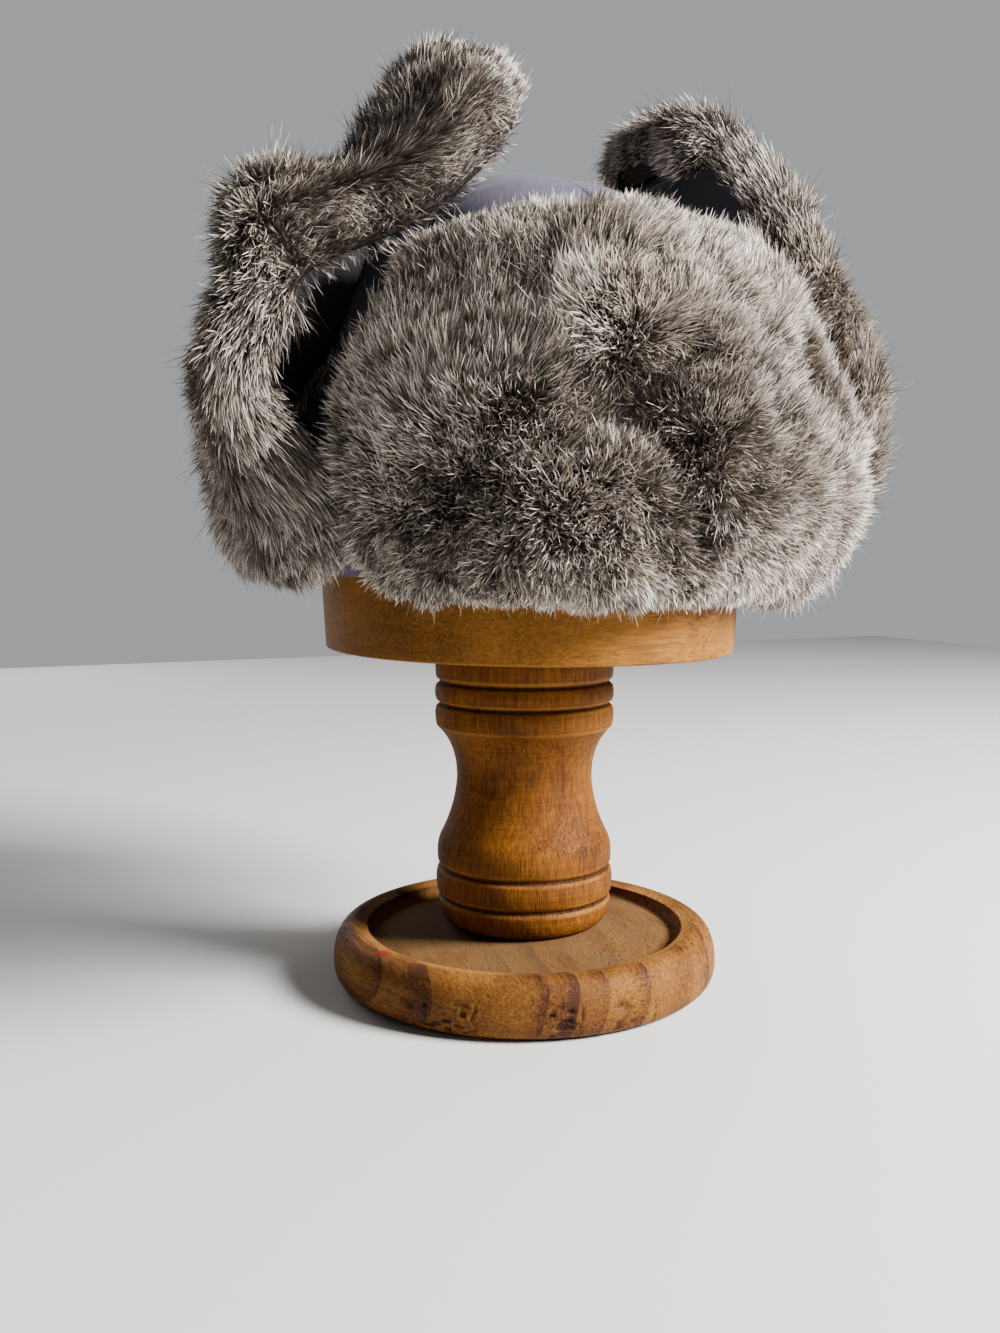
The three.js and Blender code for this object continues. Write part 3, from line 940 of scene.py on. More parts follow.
@dataclass
class HatStand:
    """A dished base, a turned post and the oval block that the hat sits on."""

    gap: float = 0.3
    rim_top: float = 23.5
    dish_floor: float = 23.2
    block_foot: float = 139.8
    hat_rim: float = 170.0
    block_top: float = 216.0
    block_edge: float = 1.2
    block_taper: float = 1.5
    block_shoulder: float = 4.0
    head_width: float = 82.5
    head_length: float = 97.5
    post_foot: float = 30.5
    base_foot: float = 71.5
    base_radius: float = 80.7
    base_bulge: float = 9.0
    rim_crest: float = 72.0
    crest_fall: float = 1.0
    dish: float = 66.5
    dish_wall: float = 62.0
    dish_low: float = 18.0
    segments: int = 80
    base_segments: int = 360
    gathering: float = 0.6
    worn_side: float = -124.0
    worn_front: Span = (0.45, 0.95)
    worn_from: Span = (0.5, 3.5)
    worn_to: Span = (16.0, 12.0)
    worn_rim: Span = (6.0, 3.0)
    chip_size: float = 1.8
    chip_stretch: Span = (0.55, 1.1)
    chip_span: Span = (0.5, 0.75)
    chip_depth: float = 1.0
    fine_span: Span = (0.55, 0.85)
    fine_share: float = 0.4
    patch_size: float = 13.0
    patch_span: Span = (0.3, 0.55)
    cracks: tuple[float, ...] = (-6.0, 34.0, 51.0, 66.0)
    crack_width: float = 0.55
    crack_share: float = 0.6
    steps: int = 12
    base_steps: int = 26
    edge: float = 0.9
    sharpest: float = 0.2
    full_mark: float = 0.5
    crease: float = 40.0
    dusty_radii: Span = (67.0, 64.0)
    dusty_heights: Span = (14.0, 18.0)

    def base_outline(self) -> list[TurnPoint]:
        """Lists the base's outline, from its underside to the post."""
        bulge, dish_edge = self.base_radius, self.rim_top - self.crest_fall
        return [
            TurnPoint(self.base_foot, 0.0),
            TurnPoint(bulge, self.base_bulge, bulge, 0.0),
            TurnPoint(self.rim_crest, self.rim_top, bulge, dish_edge),
            TurnPoint(self.dish, dish_edge),
            TurnPoint(self.dish_wall, self.dish_low, self.dish, self.dish_low),
            TurnPoint(self.post_foot, self.dish_floor),
        ]

    def post_outline(self) -> list[TurnPoint]:
        """Lists the post's outline.

        Returns:
            The outline's points, from the base to the block.
        """
        return [
            TurnPoint(self.post_foot, self.dish_floor + self.gap),
            TurnPoint(36.4, 34.0, 36.0, 24.5),
            TurnPoint(35.0, 35.4),
            TurnPoint(36.8, 37.4),
            TurnPoint(36.8, 46.2, 37.8, 42.0),
            TurnPoint(35.0, 47.8),
            TurnPoint(36.6, 49.8),
            TurnPoint(35.6, 60.0, 37.2, 56.0),
            TurnPoint(28.4, 85.0, 29.2, 72.0),
            TurnPoint(36.8, 107.0, 28.4, 99.5),
            TurnPoint(37.0, 115.0, 38.0, 112.0),
            TurnPoint(35.0, 116.4),
            TurnPoint(37.0, 118.0),
            TurnPoint(37.0, 124.0, 38.0, 121.0),
            TurnPoint(35.0, 125.6),
            TurnPoint(37.0, 127.2),
            TurnPoint(36.0, self.block_foot - self.gap, 38.0, 134.0),
        ]

    def block_outline(self) -> list[TurnPoint]:
        """Lists the block's outline across its narrow way.

        Returns:
            The outline's points, from the foot to the top.
        """
        side, edge, shoulder = self.head_width, self.block_edge, self.block_shoulder
        foot = side - self.block_taper
        return [
            TurnPoint(foot - edge, self.block_foot),
            TurnPoint(foot, self.block_foot + edge, foot, self.block_foot),
            TurnPoint(side, self.hat_rim),
            TurnPoint(side - shoulder, self.block_top - shoulder),
            TurnPoint(side - 2 * shoulder, self.block_top),
        ]

    def gathered_angles(self) -> Array:
        """Gives angles round the base, closest together at its worn front."""
        share = np.linspace(0.0, 1.0, self.base_segments, endpoint=False)
        gathered = share - self.gathering * np.sin(2 * math.pi * share) / (2 * math.pi)
        return math.radians(self.worn_side) + 2 * math.pi * gathered

    def gouges(self, outline: Array, angles: Array) -> Array:
        """Picks chips out of the base's worn front.

        Args:
            outline: A radius and a height for each ring.
            angles: The angles round the base.

        Returns:
            How far each point is sunk, in millimetres.
        """
        chip_salt, fine_salt, patch_salt = 2.0, 4.0, 6.0
        steps = np.linalg.norm(np.diff(outline, axis=0), axis=-1)
        run = np.concatenate([[0.0], np.cumsum(steps)])
        turned_by = angles - math.radians(self.worn_side)
        around = np.arctan2(np.sin(turned_by), np.cos(turned_by)) * self.base_radius
        places = np.stack(np.meshgrid(around, run), axis=-1)
        stretched = places * np.array(self.chip_stretch)
        chips = smooth(*self.chip_span, soft_noise(stretched, self.chip_size, chip_salt))
        fine = smooth(*self.fine_span, soft_noise(places, self.chip_size / 2, fine_salt))
        patches = smooth(*self.patch_span, soft_noise(places, self.patch_size, patch_salt))
        front = smooth(*self.worn_front, np.cos(turned_by))[None, :]
        side = smooth(*self.worn_from, outline[:, 1]) * smooth(*self.worn_to, outline[:, 1])
        inmost, outmost = [self.base_radius - depth for depth in self.worn_rim]
        side *= smooth(inmost, outmost, outline[:, 0])
        sunk = (chips + self.fine_share * fine) * patches * front
        upwards = places * np.array([0.0, 1.0])
        for crack in self.cracks:
            wander = crack + self.chip_size * (soft_noise(upwards, self.chip_size, crack) - 0.5)
            slit = np.exp(-(((places[..., 0] - wander) / self.crack_width) ** 2))
            sunk = np.maximum(sunk, self.crack_share * slit)
        return self.chip_depth * sunk * side[:, None]

    def turned(self, name: str, points: list[TurnPoint], stretch: float, worn: bool = False) -> Piece:
        """Turns an outline about the stand's axis.

        Args:
            name: The piece's name.
            points: The outline.
            stretch: How much longer the piece is from front to back than across.
            worn: Whether the piece has chips picked out of its front.

        Returns:
            The turned piece, with its worn edges, its grooves and chips, dust and end grain marked.
        """
        sampled = turned_outline(points, self.base_steps if worn else self.steps)
        outline, turns = softened(sampled, self.edge, self.sharpest)
        angles = np.linspace(0.0, 2 * math.pi, self.segments, endpoint=False)
        sunk = np.zeros((len(outline), self.segments))
        if worn:
            angles = self.gathered_angles()
            sunk = self.gouges(outline, angles)
        rings, segments = sunk.shape
        grid = np.empty((rings, segments, 3))
        grid[..., 0] = (outline[:, :1] - sunk) * np.cos(angles)
        grid[..., 1] = (outline[:, :1] - sunk) * np.sin(angles) * stretch
        grid[..., 2] = outline[:, 1:]
        centres = np.array([[0.0, 0.0, outline[0, 1]], [0.0, 0.0, outline[-1, 1]]])
        vertices = np.vstack([grid.reshape(-1, 3), centres])
        quads = grid_quads(rings, segments)
        around = np.arange(segments)
        beside = (around + 1) % segments
        top_ring = (rings - 1) * segments
        foot_centre, top_centre = [np.full_like(around, len(vertices) - back) for back in (2, 1)]
        foot = np.stack([beside, around, foot_centre], axis=-1)
        top = np.stack([top_ring + around, top_ring + beside, top_centre], axis=-1)
        corners = np.concatenate([quads.ravel(), foot.ravel(), top.ravel()])
        counts = np.concatenate([np.full(len(quads), 4), np.full(2 * segments, 3)])
        piece = new_piece(name, vertices, corners, counts)
        piece.data.set_sharp_from_angle(angle=math.radians(self.crease))
        for mark, values in self.marks(outline, turns, sunk).items():
            point_values(piece, mark, np.clip(np.append(values, np.zeros(len(centres))), 0.0, 1.0))
        return piece

    def marks(self, outline: Array, turns: Array, sunk: Array) -> dict[str, Array]:
        """Marks the worn edges, the grooves and chips, dust and end grain of a turned piece.

        Args:
            outline: A radius and a height for each ring.
            turns: How sharply the outline turns at each ring.
            sunk: How far each point is sunk, in millimetres.

        Returns:
            A number for each point, under each mark's name.
        """
        radius, height = outline.T
        slope = np.gradient(outline, axis=0)
        dust = smooth(*self.dusty_radii, radius) * smooth(*self.dusty_heights, height)
        dust = dust * (height < self.rim_top)
        end_grain = np.abs(slope[:, 0]) / np.maximum(np.linalg.norm(slope, axis=-1), TINY)
        level = np.zeros_like(sunk)
        return {
            WEAR: np.maximum(turns[:, None] / self.full_mark, level),
            # Rises in the outline's grooves and with the depth of the chips.
            HOLLOWS: np.maximum(-turns[:, None] / self.full_mark, sunk / self.chip_depth),
            DUST: np.maximum(dust[:, None], level),
            END_GRAIN: np.maximum(end_grain[:, None], level),
        }

    def build(self) -> None:
        """Builds and dresses the base, the post and the block."""
        dress(self.turned("base", self.base_outline(), 1.0, worn=True), BASE_WOOD, "stand_base")
        dress(self.turned("post", self.post_outline(), 1.0), POST_WOOD, "stand_post")
        stretch = self.head_length / self.head_width
        dress(self.turned("block", self.block_outline(), stretch), BLOCK_WOOD, "stand_block")


# The hat's cloth crown
@dataclass(frozen=True)
class Dent:
    """A soft hollow in the top of the crown, in plan."""

    x: float
    y: float
    spread: float
    depth: float


@dataclass
class Oval:
    """The oval of the head that the hat is made to."""

    half_width: float = 82.5
    half_length: float = 97.5

    def radius(self, angle: Array, margin: float) -> Array:
        """Works out the oval's radius.

        Args:
            angle: Angles from the front, in radians.
            margin: How much larger than the head the oval is, in millimetres.

        Returns:
            The radius at each angle, in millimetres.
        """
        across = np.sin(angle) / (self.half_width + margin)
        lengthwise = np.cos(angle) / (self.half_length + margin)
        return 1 / np.hypot(across, lengthwise)


@dataclass
class Crown:
    """A cloth dome of six gores, hollow, with soft dents in its top."""

    oval: Oval = field(default_factory=Oval)
    rim: float = 170.0
    top: float = 327.0
    wall: float = 2.4
    ease: float = 0.65
    squareness: float = 2.5
    gores: int = 6
    seam_depth: float = 2.2
    seam_sharpness: float = 8.0
    dent_sharpness: float = 4.0
    groove_depth: float = 1.1
    groove_width: float = 1.3
    fold_height: float = 0.8
    fold_size: float = 26.0
    fold_run: float = 200.0
    crease_share: float = 0.5
    crease_finer: float = 3.0
    fold_tilt: float = 0.6
    fold_climb: Span = (0.05, 0.35)
    cloth_run: float = 240.0
    gore_steps: int = 36
    gathering: float = 0.82
    levels: int = 56
    inner_levels: int = 14
    near_top: float = 0.996
    dents: tuple[Dent, ...] = (Dent(-30, 18, 26, 5), Dent(46, 22, 26, 5), Dent(4, -48, 28, 4))

    def angles(self) -> Array:
        """Gives angles round the crown, closer together at the seams."""
        share = np.linspace(0.0, 1.0, self.gore_steps, endpoint=False)
        gathered = share - self.gathering * np.sin(2 * math.pi * share) / (2 * math.pi)
        whole = np.arange(self.gores)[:, None] + gathered[None, :]
        return whole.ravel() * 2 * math.pi / self.gores

    def shell(self, climbs: Array, margin: float, lift: float) -> Array:
        """Works out a dome.

        Args:
            climbs: Places from the rim (0) to the top (1).
            margin: How much larger than the head it is.
            lift: How much higher than the inner dome it is.

        Returns:
            A grid of points, one row for each climb.
        """
        climb, angle = climbs[:, None], self.angles()[None, :]
        power = 2 / self.squareness
        shrink = np.cos(climb * math.pi / 2) ** power
        rise = np.sin(climb * math.pi / 2) ** power
        seam = np.abs(np.cos(angle * self.gores / 2)) ** self.seam_sharpness
        pucker = self.seam_depth * seam * np.sin(climb * math.pi)
        radius = (self.oval.radius(angle, margin) - pucker) * shrink
        x, y = radius * np.sin(angle), -radius * np.cos(angle)
        up = self.rim + (self.top - self.wall + lift - self.rim) * rise + np.zeros_like(x)
        for dent in self.dents:
            away = np.hypot(x - dent.x, y - dent.y) / dent.spread
            up = up - dent.depth * np.exp(-away * away) * rise ** self.dent_sharpness
        return np.stack([x, y, up], axis=-1)

    def sewn(self, dome: Array, climbs: Array) -> Array:
        """Presses the sewn grooves and small folds into the outer dome.

        Args:
            dome: The outer dome's points.
            climbs: The climb of each row.

        Returns:
            The dome with its seams and folds.
        """
        gore = 2 * math.pi / self.gores
        off_seam = np.abs((self.angles() + gore / 2) % gore - gore / 2)
        flat_radius = np.hypot(dome[..., 0], dome[..., 1])
        distance = off_seam[None, :] * flat_radius
        groove = self.groove_depth * np.exp(-(distance / self.groove_width) ** 2)
        around = self.angles()[None, :] * flat_radius
        upwards = climbs[:, None] * self.fold_run + 0 * flat_radius
        cloth = np.stack([around, upwards], axis=-1)
        fold_salt, crease_salt = 5.0, 9.0
        creases = self.crease_share * soft_noise(cloth, self.fold_size / self.crease_finer, crease_salt)
        middle = (1 + self.crease_share) / 2
        fold = soft_noise(cloth, self.fold_size, fold_salt) + creases - middle
        away = np.stack([dome[..., 0], dome[..., 1], (dome[..., 2] - self.rim) * self.fold_tilt], axis=-1)
        rise = smooth(*self.fold_climb, climbs)[:, None]
        return dome + unit(away) * ((self.fold_height * fold - groove) * rise)[..., None]

    def build(self) -> None:
        """Builds and dresses the crown's wall."""
        climbs = np.linspace(0.0, self.near_top, self.levels)
        inner_climbs = np.linspace(0.0, self.near_top, self.inner_levels)
        outer = self.sewn(self.shell(climbs, self.ease + self.wall, self.wall), climbs)
        inner = self.shell(inner_climbs, self.ease, 0.0)
        columns = outer.shape[1]
        points = np.vstack([inner[::-1].reshape(-1, 3), outer.reshape(-1, 3)])
        rows = len(inner_climbs) + len(climbs)
        quads = grid_quads(rows, columns)
        inner_top, outer_top = np.arange(columns)[::-1], (rows - 1) * columns + np.arange(columns)
        corners = np.concatenate([quads.ravel(), inner_top, outer_top])
        counts = np.concatenate([np.full(len(quads), 4), [columns, columns]])
        piece = new_piece("crown_cloth", points, corners, counts)
        heights = np.concatenate([inner_climbs[::-1], climbs])
        along_cloth = np.repeat(heights * self.cloth_run, columns)
        around_cloth = np.tile(self.angles() * self.oval.half_length, rows)
        corner_map(piece, CLOTH_MAP, np.stack([around_cloth, along_cloth], axis=-1) * MM)
        dress(piece, CROWN_CLOTH, "crown")


# The flaps' faces
@dataclass
class FaceFrame:
    """Points of a face, with the directions across it, along it and outwards."""

    point: Array
    cross: Array
    length: Array
    out: Array


@dataclass(frozen=True)
class WrapRow:
    """A cross line of a flap that lies round the crown, with its half angle in degrees."""

    up: float
    out: float
    half: float
    flare: float


@dataclass(frozen=True)
class EarRow:
    """A cross line of an ear flap that stands off the crown."""

    up: float
    out: float
    mid: float
    half: float
    flare: float
    bow: float
    tilt: float


class Face(ABC):
    """The outer face of a flap's cloth, for u across it (-1 to 1) and v from the rim (0) to its edge (1)."""

    turn: float

    @abstractmethod
    def points(self, u: Array, v: Array) -> Array:
        """Works out the face's points.

        Args:
            u: Places across the face.
            v: Places along the face.

        Returns:
            The points, in millimetres.
        """

    def frame(self, u: Array, v: Array) -> FaceFrame:
        """Works out the face's directions.

        Args:
            u: Places across the face.
            v: Places along the face.

        Returns:
            The points and their directions.
        """
        nudge = 0.01
        cross = unit(self.points(u + nudge, v) - self.points(u - nudge, v))
        length = unit(self.points(u, np.minimum(v + nudge, 1.0)) - self.points(u, np.maximum(v - nudge, 0.0)))
        return FaceFrame(self.points(u, v), cross, length, unit(np.cross(cross, length)) * self.turn)


@dataclass
class WrapFace(Face):
    """The face of a flap that lies round the crown."""

    rows: list[WrapRow]
    facing: float
    corner_drop: float
    crown: Crown
    corner_sharpness: int = 6
    turn: float = 1.0

    def points(self, u: Array, v: Array) -> Array:
        """Works out the face's points.

        Args:
            u: Places across the face.
            v: Places along the face.

        Returns:
            The points, in millimetres.
        """
        angle = math.radians(self.facing) + u * np.radians(along(self.rows, "half", v))
        flare = along(self.rows, "flare", v) * np.maximum(u, 0.0) ** 2
        margin = self.crown.ease + self.crown.wall
        radius = self.crown.oval.radius(angle, margin) + along(self.rows, "out", v) + flare
        up = along(self.rows, "up", v) - self.corner_drop * v * v * u ** self.corner_sharpness
        return np.stack([radius * np.sin(angle), -radius * np.cos(angle), up], axis=-1)


@dataclass
class EarFace(Face):
    """The face of an ear flap, on the side that turn gives."""

    rows: list[EarRow]
    turn: float

    def points(self, u: Array, v: Array) -> Array:
        """Works out the face's points.

        Args:
            u: Places across the face.
            v: Places along the face.

        Returns:
            The points, in millimetres.
        """
        flare, bow = along(self.rows, "flare", v), along(self.rows, "bow", v)
        out = along(self.rows, "out", v) - flare * u - bow * u * u
        lengthwise = along(self.rows, "mid", v) + along(self.rows, "half", v) * u
        up = along(self.rows, "up", v) + along(self.rows, "tilt", v) * u
        return np.stack([self.turn * out, lengthwise, up], axis=-1)


# Fur
@dataclass(frozen=True)
class Whorl:
    """A place on the face where the hair parts or swirls, with its reach and sink in millimetres."""

    u: float
    v: float
    reach: float
    push: float
    swirl: float
    # Painted shade: how much the hairs' tone is darkened near the whorl, standing in for the shadow in its
    # parting or valley.
    shade: float
    sink: float


@dataclass(frozen=True)
class Groom:
    """How a flap's hair is combed."""

    parting: float
    parting_width: float = 0.2
    spread: float = 0.6
    lean: float = 0.0
    lift: float = 0.66
    lay: float = 0.74
    paleness: float = 0.68
    drift: float = 0.8
    drift_size: float = 27.0
    fine_drift: float = 0.6
    fine_drift_finer: float = 2.5
    flatness_size: float = 0.8
    tuft_turn: float = 0.4
    lock_turn: float = 0.5
    mottle_size: float = 28.0
    mottle: float = 0.4
    tuft_tone: float = 0.35
    lock_tone: float = 0.8
    hair_tone: float = 0.28
    tone_span: Span = (0.22, 0.98)
    whorls: tuple[Whorl, ...] = ()


@dataclass(frozen=True)
class Crest:
    """A place along a flap where the pile stands deeper, or its edge hairs are longer."""

    place: float
    spread: float
    rise: float

    def height(self, v: Array) -> Array:
        """Gives the rise at places along the flap."""
        return self.rise * np.exp(-(((v - self.place) / self.spread) ** 2))


@dataclass(frozen=True)
class HairCut:
    """The hairs of a pelt, in millimetres, and how they gather into locks and tufts."""

    length: float = 9.0
    width: float = 0.45
    shortest: float = 0.65
    longest: float = 1.25
    thinnest: float = 0.55
    thickest: float = 1.2
    widest_place: float = 0.64
    edge_share: float = 0.65
    edge_depth: float = 0.8
    edge_run: float = 0.08
    guard_share: float = 0.06
    guard_length: float = 1.45
    guard_width: float = 0.5
    dark_guards: float = 0.55
    tuft_sizes: Span = (0.75, 1.25)
    tuft_size: float = 8.0
    tuft_pull: float = 0.2
    lock_size: float = 2.2
    lock_pull: float = 0.8
    stray: float = 0.22
    droop: float = 0.22
    settle: float = 0.1
    bend: float = 0.06
    twist: float = 0.45
    sink: float = 1.0


@dataclass(frozen=True)
class PileWave:
    """A soft wave over a worn pelt: its waves across and along the flap, and its share of the lumps."""

    across: float
    along: float
    share: float


@dataclass
class PeltPoints:
    """Points of a pelt, with their places on the face and the directions there.

    The share says how high up the pelt's side a point lies, from 0 at its back to 1 on its open side.
    """

    point: Array
    normal: Array
    u: Array
    v: Array
    share: Array
    cross: Array
    length: Array


@dataclass
class Gathering:
    """The tuft and the lock that each hair belongs to, and the way to their middles on the flap laid flat."""

    tuft: Array
    lock: Array
    tuft_way: Array
    lock_way: Array


@dataclass
class Pelt:
    """The fur of one flap: a rounded hide with hairs on it."""

    name: str
    node: str
    face: Face
    groom: Groom
    half_width: float
    flap_length: float
    salt: int
    hairs: int
    fur_pieces: int = 1
    start: float = 0.0
    pile: float = 17.0
    back: float = 1.3
    lip: float = 0.0
    cut: HairCut = field(default_factory=HairCut)
    hide_share: float = 0.84
    hump: float = 4.2
    hump_size: float = 30.0
    small_hump: float = 0.45
    small_hump_finer: float = 2.4
    overhang: float = 7.0
    lump: float = 0.14
    waves: tuple[PileWave, ...] = (PileWave(5.1, 7.3, 0.6), PileWave(9.7, -6.1, 0.4))
    seat: float = 0.4
    end_width: float = 0.75
    rounding: float = 0.04
    side_sharpness: int = 4
    thinnest_side: float = 0.1
    weld: float = 0.02
    crests: tuple[Crest, ...] = ()
    fringes: tuple[Crest, ...] = ()
    top_columns: int = 56
    back_columns: int = 12
    side_steps: int = 7
    rows: int = 48
    end_steps: int = 6

    def flat_places(self, u: Array, v: Array) -> Array:
        """Gives places on the flap laid flat, in millimetres."""
        return np.stack([u * self.half_width, v * self.flap_length], axis=-1)

    def depth(self, u: Array, v: Array) -> Array:
        """Works out the hide's depth, with the soft lumps of a worn pelt.

        Args:
            u: Places across the face.
            v: Places along the face.

        Returns:
            The depth, in millimetres.
        """
        waves = sum(wave.share * np.sin(wave.across * u + wave.along * v + self.salt) for wave in self.waves)
        places = self.flat_places(u, v)
        small_size = self.hump_size / self.small_hump_finer
        humps = soft_noise(places, self.hump_size, self.salt + Draw.HUMPS) - 0.5
        humps = humps + self.small_hump * (soft_noise(places, small_size, self.salt + Draw.SMALL_HUMPS) - 0.5)
        soft = self.pile * (1 + self.lump * waves)
        for crest in self.crests:
            soft = soft + crest.height(v)
        for whorl in self.groom.whorls:
            soft = soft - whorl.sink * self.nearness(whorl, u, v)
        rounded = 1 - self.rounding * u ** self.side_sharpness
        return self.hide_share * soft * rounded + 2 * self.hump * humps

    def nearness(self, whorl: Whorl, u: Array, v: Array) -> Array:
        """Gives a share that falls from 1 at a whorl's middle."""
        x, y = (u - whorl.u) * self.half_width, (v - whorl.v) * self.flap_length
        return np.exp(-(x * x + y * y) / whorl.reach ** 2)

    def ring(self) -> tuple[Array, Array, Array]:
        """Lays out one cross ring of the hide: side, top, side and back.

        Returns:
            The place across the face, the share of the depth and the share of the lip, for each point.
        """
        past = self.overhang / self.half_width
        bend = np.linspace(-math.pi / 2, math.pi / 2, self.side_steps + 2)[:-1]
        side_u = 1 + past * np.maximum(np.cos(bend), self.thinnest_side)
        side_share = (1 + np.sin(bend)) / 2
        top_u = np.linspace(1.0, -1.0, self.top_columns + 1)
        back_u = np.linspace(-1.0, 1.0, self.back_columns + 1)
        u = np.concatenate([side_u, top_u, -side_u[::-1], back_u])
        share = np.concatenate([side_share, np.ones_like(top_u), side_share[::-1], np.zeros_like(back_u)])
        rim = np.concatenate([np.ones(len(u) - len(back_u)), np.zeros_like(back_u)])
        return u, share, rim

    def surface(self) -> PeltPoints:
        """Works out the hide's body.

        Returns:
            The body as a grid of rings from the rim to the flap's edge.
        """
        ring_u, ring_share, rim = self.ring()
        bend = np.linspace(0.0, math.pi / 2, self.end_steps + 1)[:-1]
        middle = np.linspace(self.start, 1.0, self.rows + 1)
        ones = np.ones_like(bend)
        v = np.concatenate([self.start * ones, middle, ones])
        run = np.concatenate([-np.cos(bend), 0 * middle, np.cos(bend[::-1])]) * self.overhang
        swell = np.concatenate([np.sin(bend), 1 + 0 * middle, np.sin(bend[::-1])])[:, None]
        limit = 1 + self.overhang / self.half_width * swell
        u = np.clip(ring_u[None, :], -limit, limit) * (self.end_width + (1 - self.end_width) * swell)
        v = v[:, None] + 0 * u
        share = self.seat + (ring_share[None, :] - self.seat) * swell
        place = self.face.frame(u, v)
        foot = self.back - (self.back + self.lip) * rim[None, :] * swell
        height = foot + (self.back + self.depth(u, v) - foot) * share
        points = place.point + place.out * height[..., None] + place.length * run[:, None, None]
        ring_way = np.roll(points, -1, axis=1) - np.roll(points, 1, axis=1)
        normals = unit(np.cross(np.gradient(points, axis=0), ring_way))
        visible = slice(self.side_steps, self.side_steps + self.top_columns)
        facing = np.mean(np.sum(normals[:, visible] * place.out[:, visible], axis=-1))
        return PeltPoints(points, normals * np.sign(facing), u, v, share, place.cross, place.length)

    def build_hide(self, surface: PeltPoints) -> None:
        """Builds and dresses the hide below the hairs.

        Args:
            surface: The hide's body.
        """
        piece = ringed_piece(f"{self.name}_hide", surface.point)
        face_outwards(piece, self.weld)
        dress(piece, HIDE, self.node)

    def roots(self, surface: PeltPoints, count: int, draw: np.random.Generator) -> PeltPoints:
        """Scatters hair roots evenly over the hide's open side.

        Args:
            surface: The hide's body.
            count: How many roots.
            draw: The random draw.

        Returns:
            The roots.
        """
        rows = surface.point.shape[0]
        columns = 2 * self.side_steps + self.top_columns + 2
        row, column = np.meshgrid(np.arange(rows - 1), np.arange(columns), indexing="ij")
        row, column = row.ravel(), column.ravel()
        one = surface.point[row, column]
        across, up = surface.point[row, column + 1] - one, surface.point[row + 1, column] - one
        area = np.cumsum(np.linalg.norm(np.cross(across, up), axis=-1))
        pick = np.searchsorted(area / area[-1], (np.arange(count) + draw.random(count)) / count)
        row, column = row[pick], column[pick]
        a, b = draw.random(count), draw.random(count)

        def between(values: Array) -> Array:
            """Reads a grid between its four nearest points."""
            shares = [(1 - a) * (1 - b), a * (1 - b), (1 - a) * b, a * b]
            near = [values[row + higher, column + beside] for higher in (0, 1) for beside in (0, 1)]
            if values.ndim > 2:
                shares = [share[:, None] for share in shares]
            return sum(share * value for share, value in zip(shares, near))

        return PeltPoints(
            between(surface.point),
            unit(between(surface.normal)),
            between(surface.u),
            between(surface.v),
            between(surface.share),
            unit(between(surface.cross)),
            unit(between(surface.length)),
        )

    def gathering(self, places: Array) -> Gathering:
        """Sorts hairs into tufts and locks.

        Args:
            places: The hairs' places on the flap laid flat.

        Returns:
            The tufts and the locks.
        """
        tuft_way, tuft = nearest_tuft(places, self.cut.tuft_size, self.salt)
        lock_way, lock = nearest_tuft(places, self.cut.lock_size, self.salt + Draw.LOCKS)
        return Gathering(tuft, lock, tuft_way, lock_way)

    def combing(self, roots: PeltPoints, places: Array, gathered: Gathering) -> tuple[Array, Array]:
        """Works out which way each hair is combed.

        Args:
            roots: The hair roots.
            places: Their places on the flap laid flat.
            gathered: Their tufts and locks.

        Returns:
            The combing, as a direction along the hide, and the painted shade that darkens the hair's tone
            near the whorls.
        """
        groom = self.groom
        across = groom.spread * roots.u + groom.lean
        lengthwise = np.tanh((roots.v - groom.parting) / groom.parting_width)
        shade = np.zeros_like(across)
        for whorl in groom.whorls:
            x = (roots.u - whorl.u) * self.half_width
            y = (roots.v - whorl.v) * self.flap_length
            distance = np.hypot(x, y)
            weight = self.nearness(whorl, roots.u, roots.v)
            near = np.maximum(distance, whorl.reach / 2)
            across = across * (1 - weight) + weight * (whorl.push * x - whorl.swirl * y) / near
            lengthwise = lengthwise * (1 - weight) + weight * (whorl.push * y + whorl.swirl * x) / near
            # Gathers the whorls' painted shade, which is taken off the hairs' tone.
            shade += weight * whorl.shade
        fine_size = groom.drift_size / groom.fine_drift_finer
        flat_size = groom.drift_size * groom.flatness_size
        broad = soft_noise(places, groom.drift_size, self.salt + Draw.DRIFT) - 0.5
        fine = soft_noise(places, fine_size, self.salt + Draw.FINE_DRIFT) - 0.5
        turn = 2 * groom.drift * (broad + groom.fine_drift * fine)
        flat = 0.5 + soft_noise(places, flat_size, self.salt + Draw.FLATNESS)

        def own_turn(tuft_draw: Draw, lock_draw: Draw) -> Array:
            """Draws how far each tuft and each lock turns from the combing."""
            tuft = groom.tuft_turn * (scattered(gathered.tuft, tuft_draw) - 0.5)
            return tuft + groom.lock_turn * (scattered(gathered.lock, lock_draw) - 0.5)

        along_u = flat * (across * np.cos(turn) - lengthwise * np.sin(turn))
        along_v = flat * (across * np.sin(turn) + lengthwise * np.cos(turn))
        along_u += own_turn(Draw.TUFT_ACROSS, Draw.LOCK_ACROSS)
        along_v += own_turn(Draw.TUFT_ALONG, Draw.LOCK_ALONG)
        comb = roots.cross * along_u[:, None] + roots.length * along_v[:, None]
        comb -= roots.normal * np.sum(comb * roots.normal, axis=-1, keepdims=True)
        return comb, shade

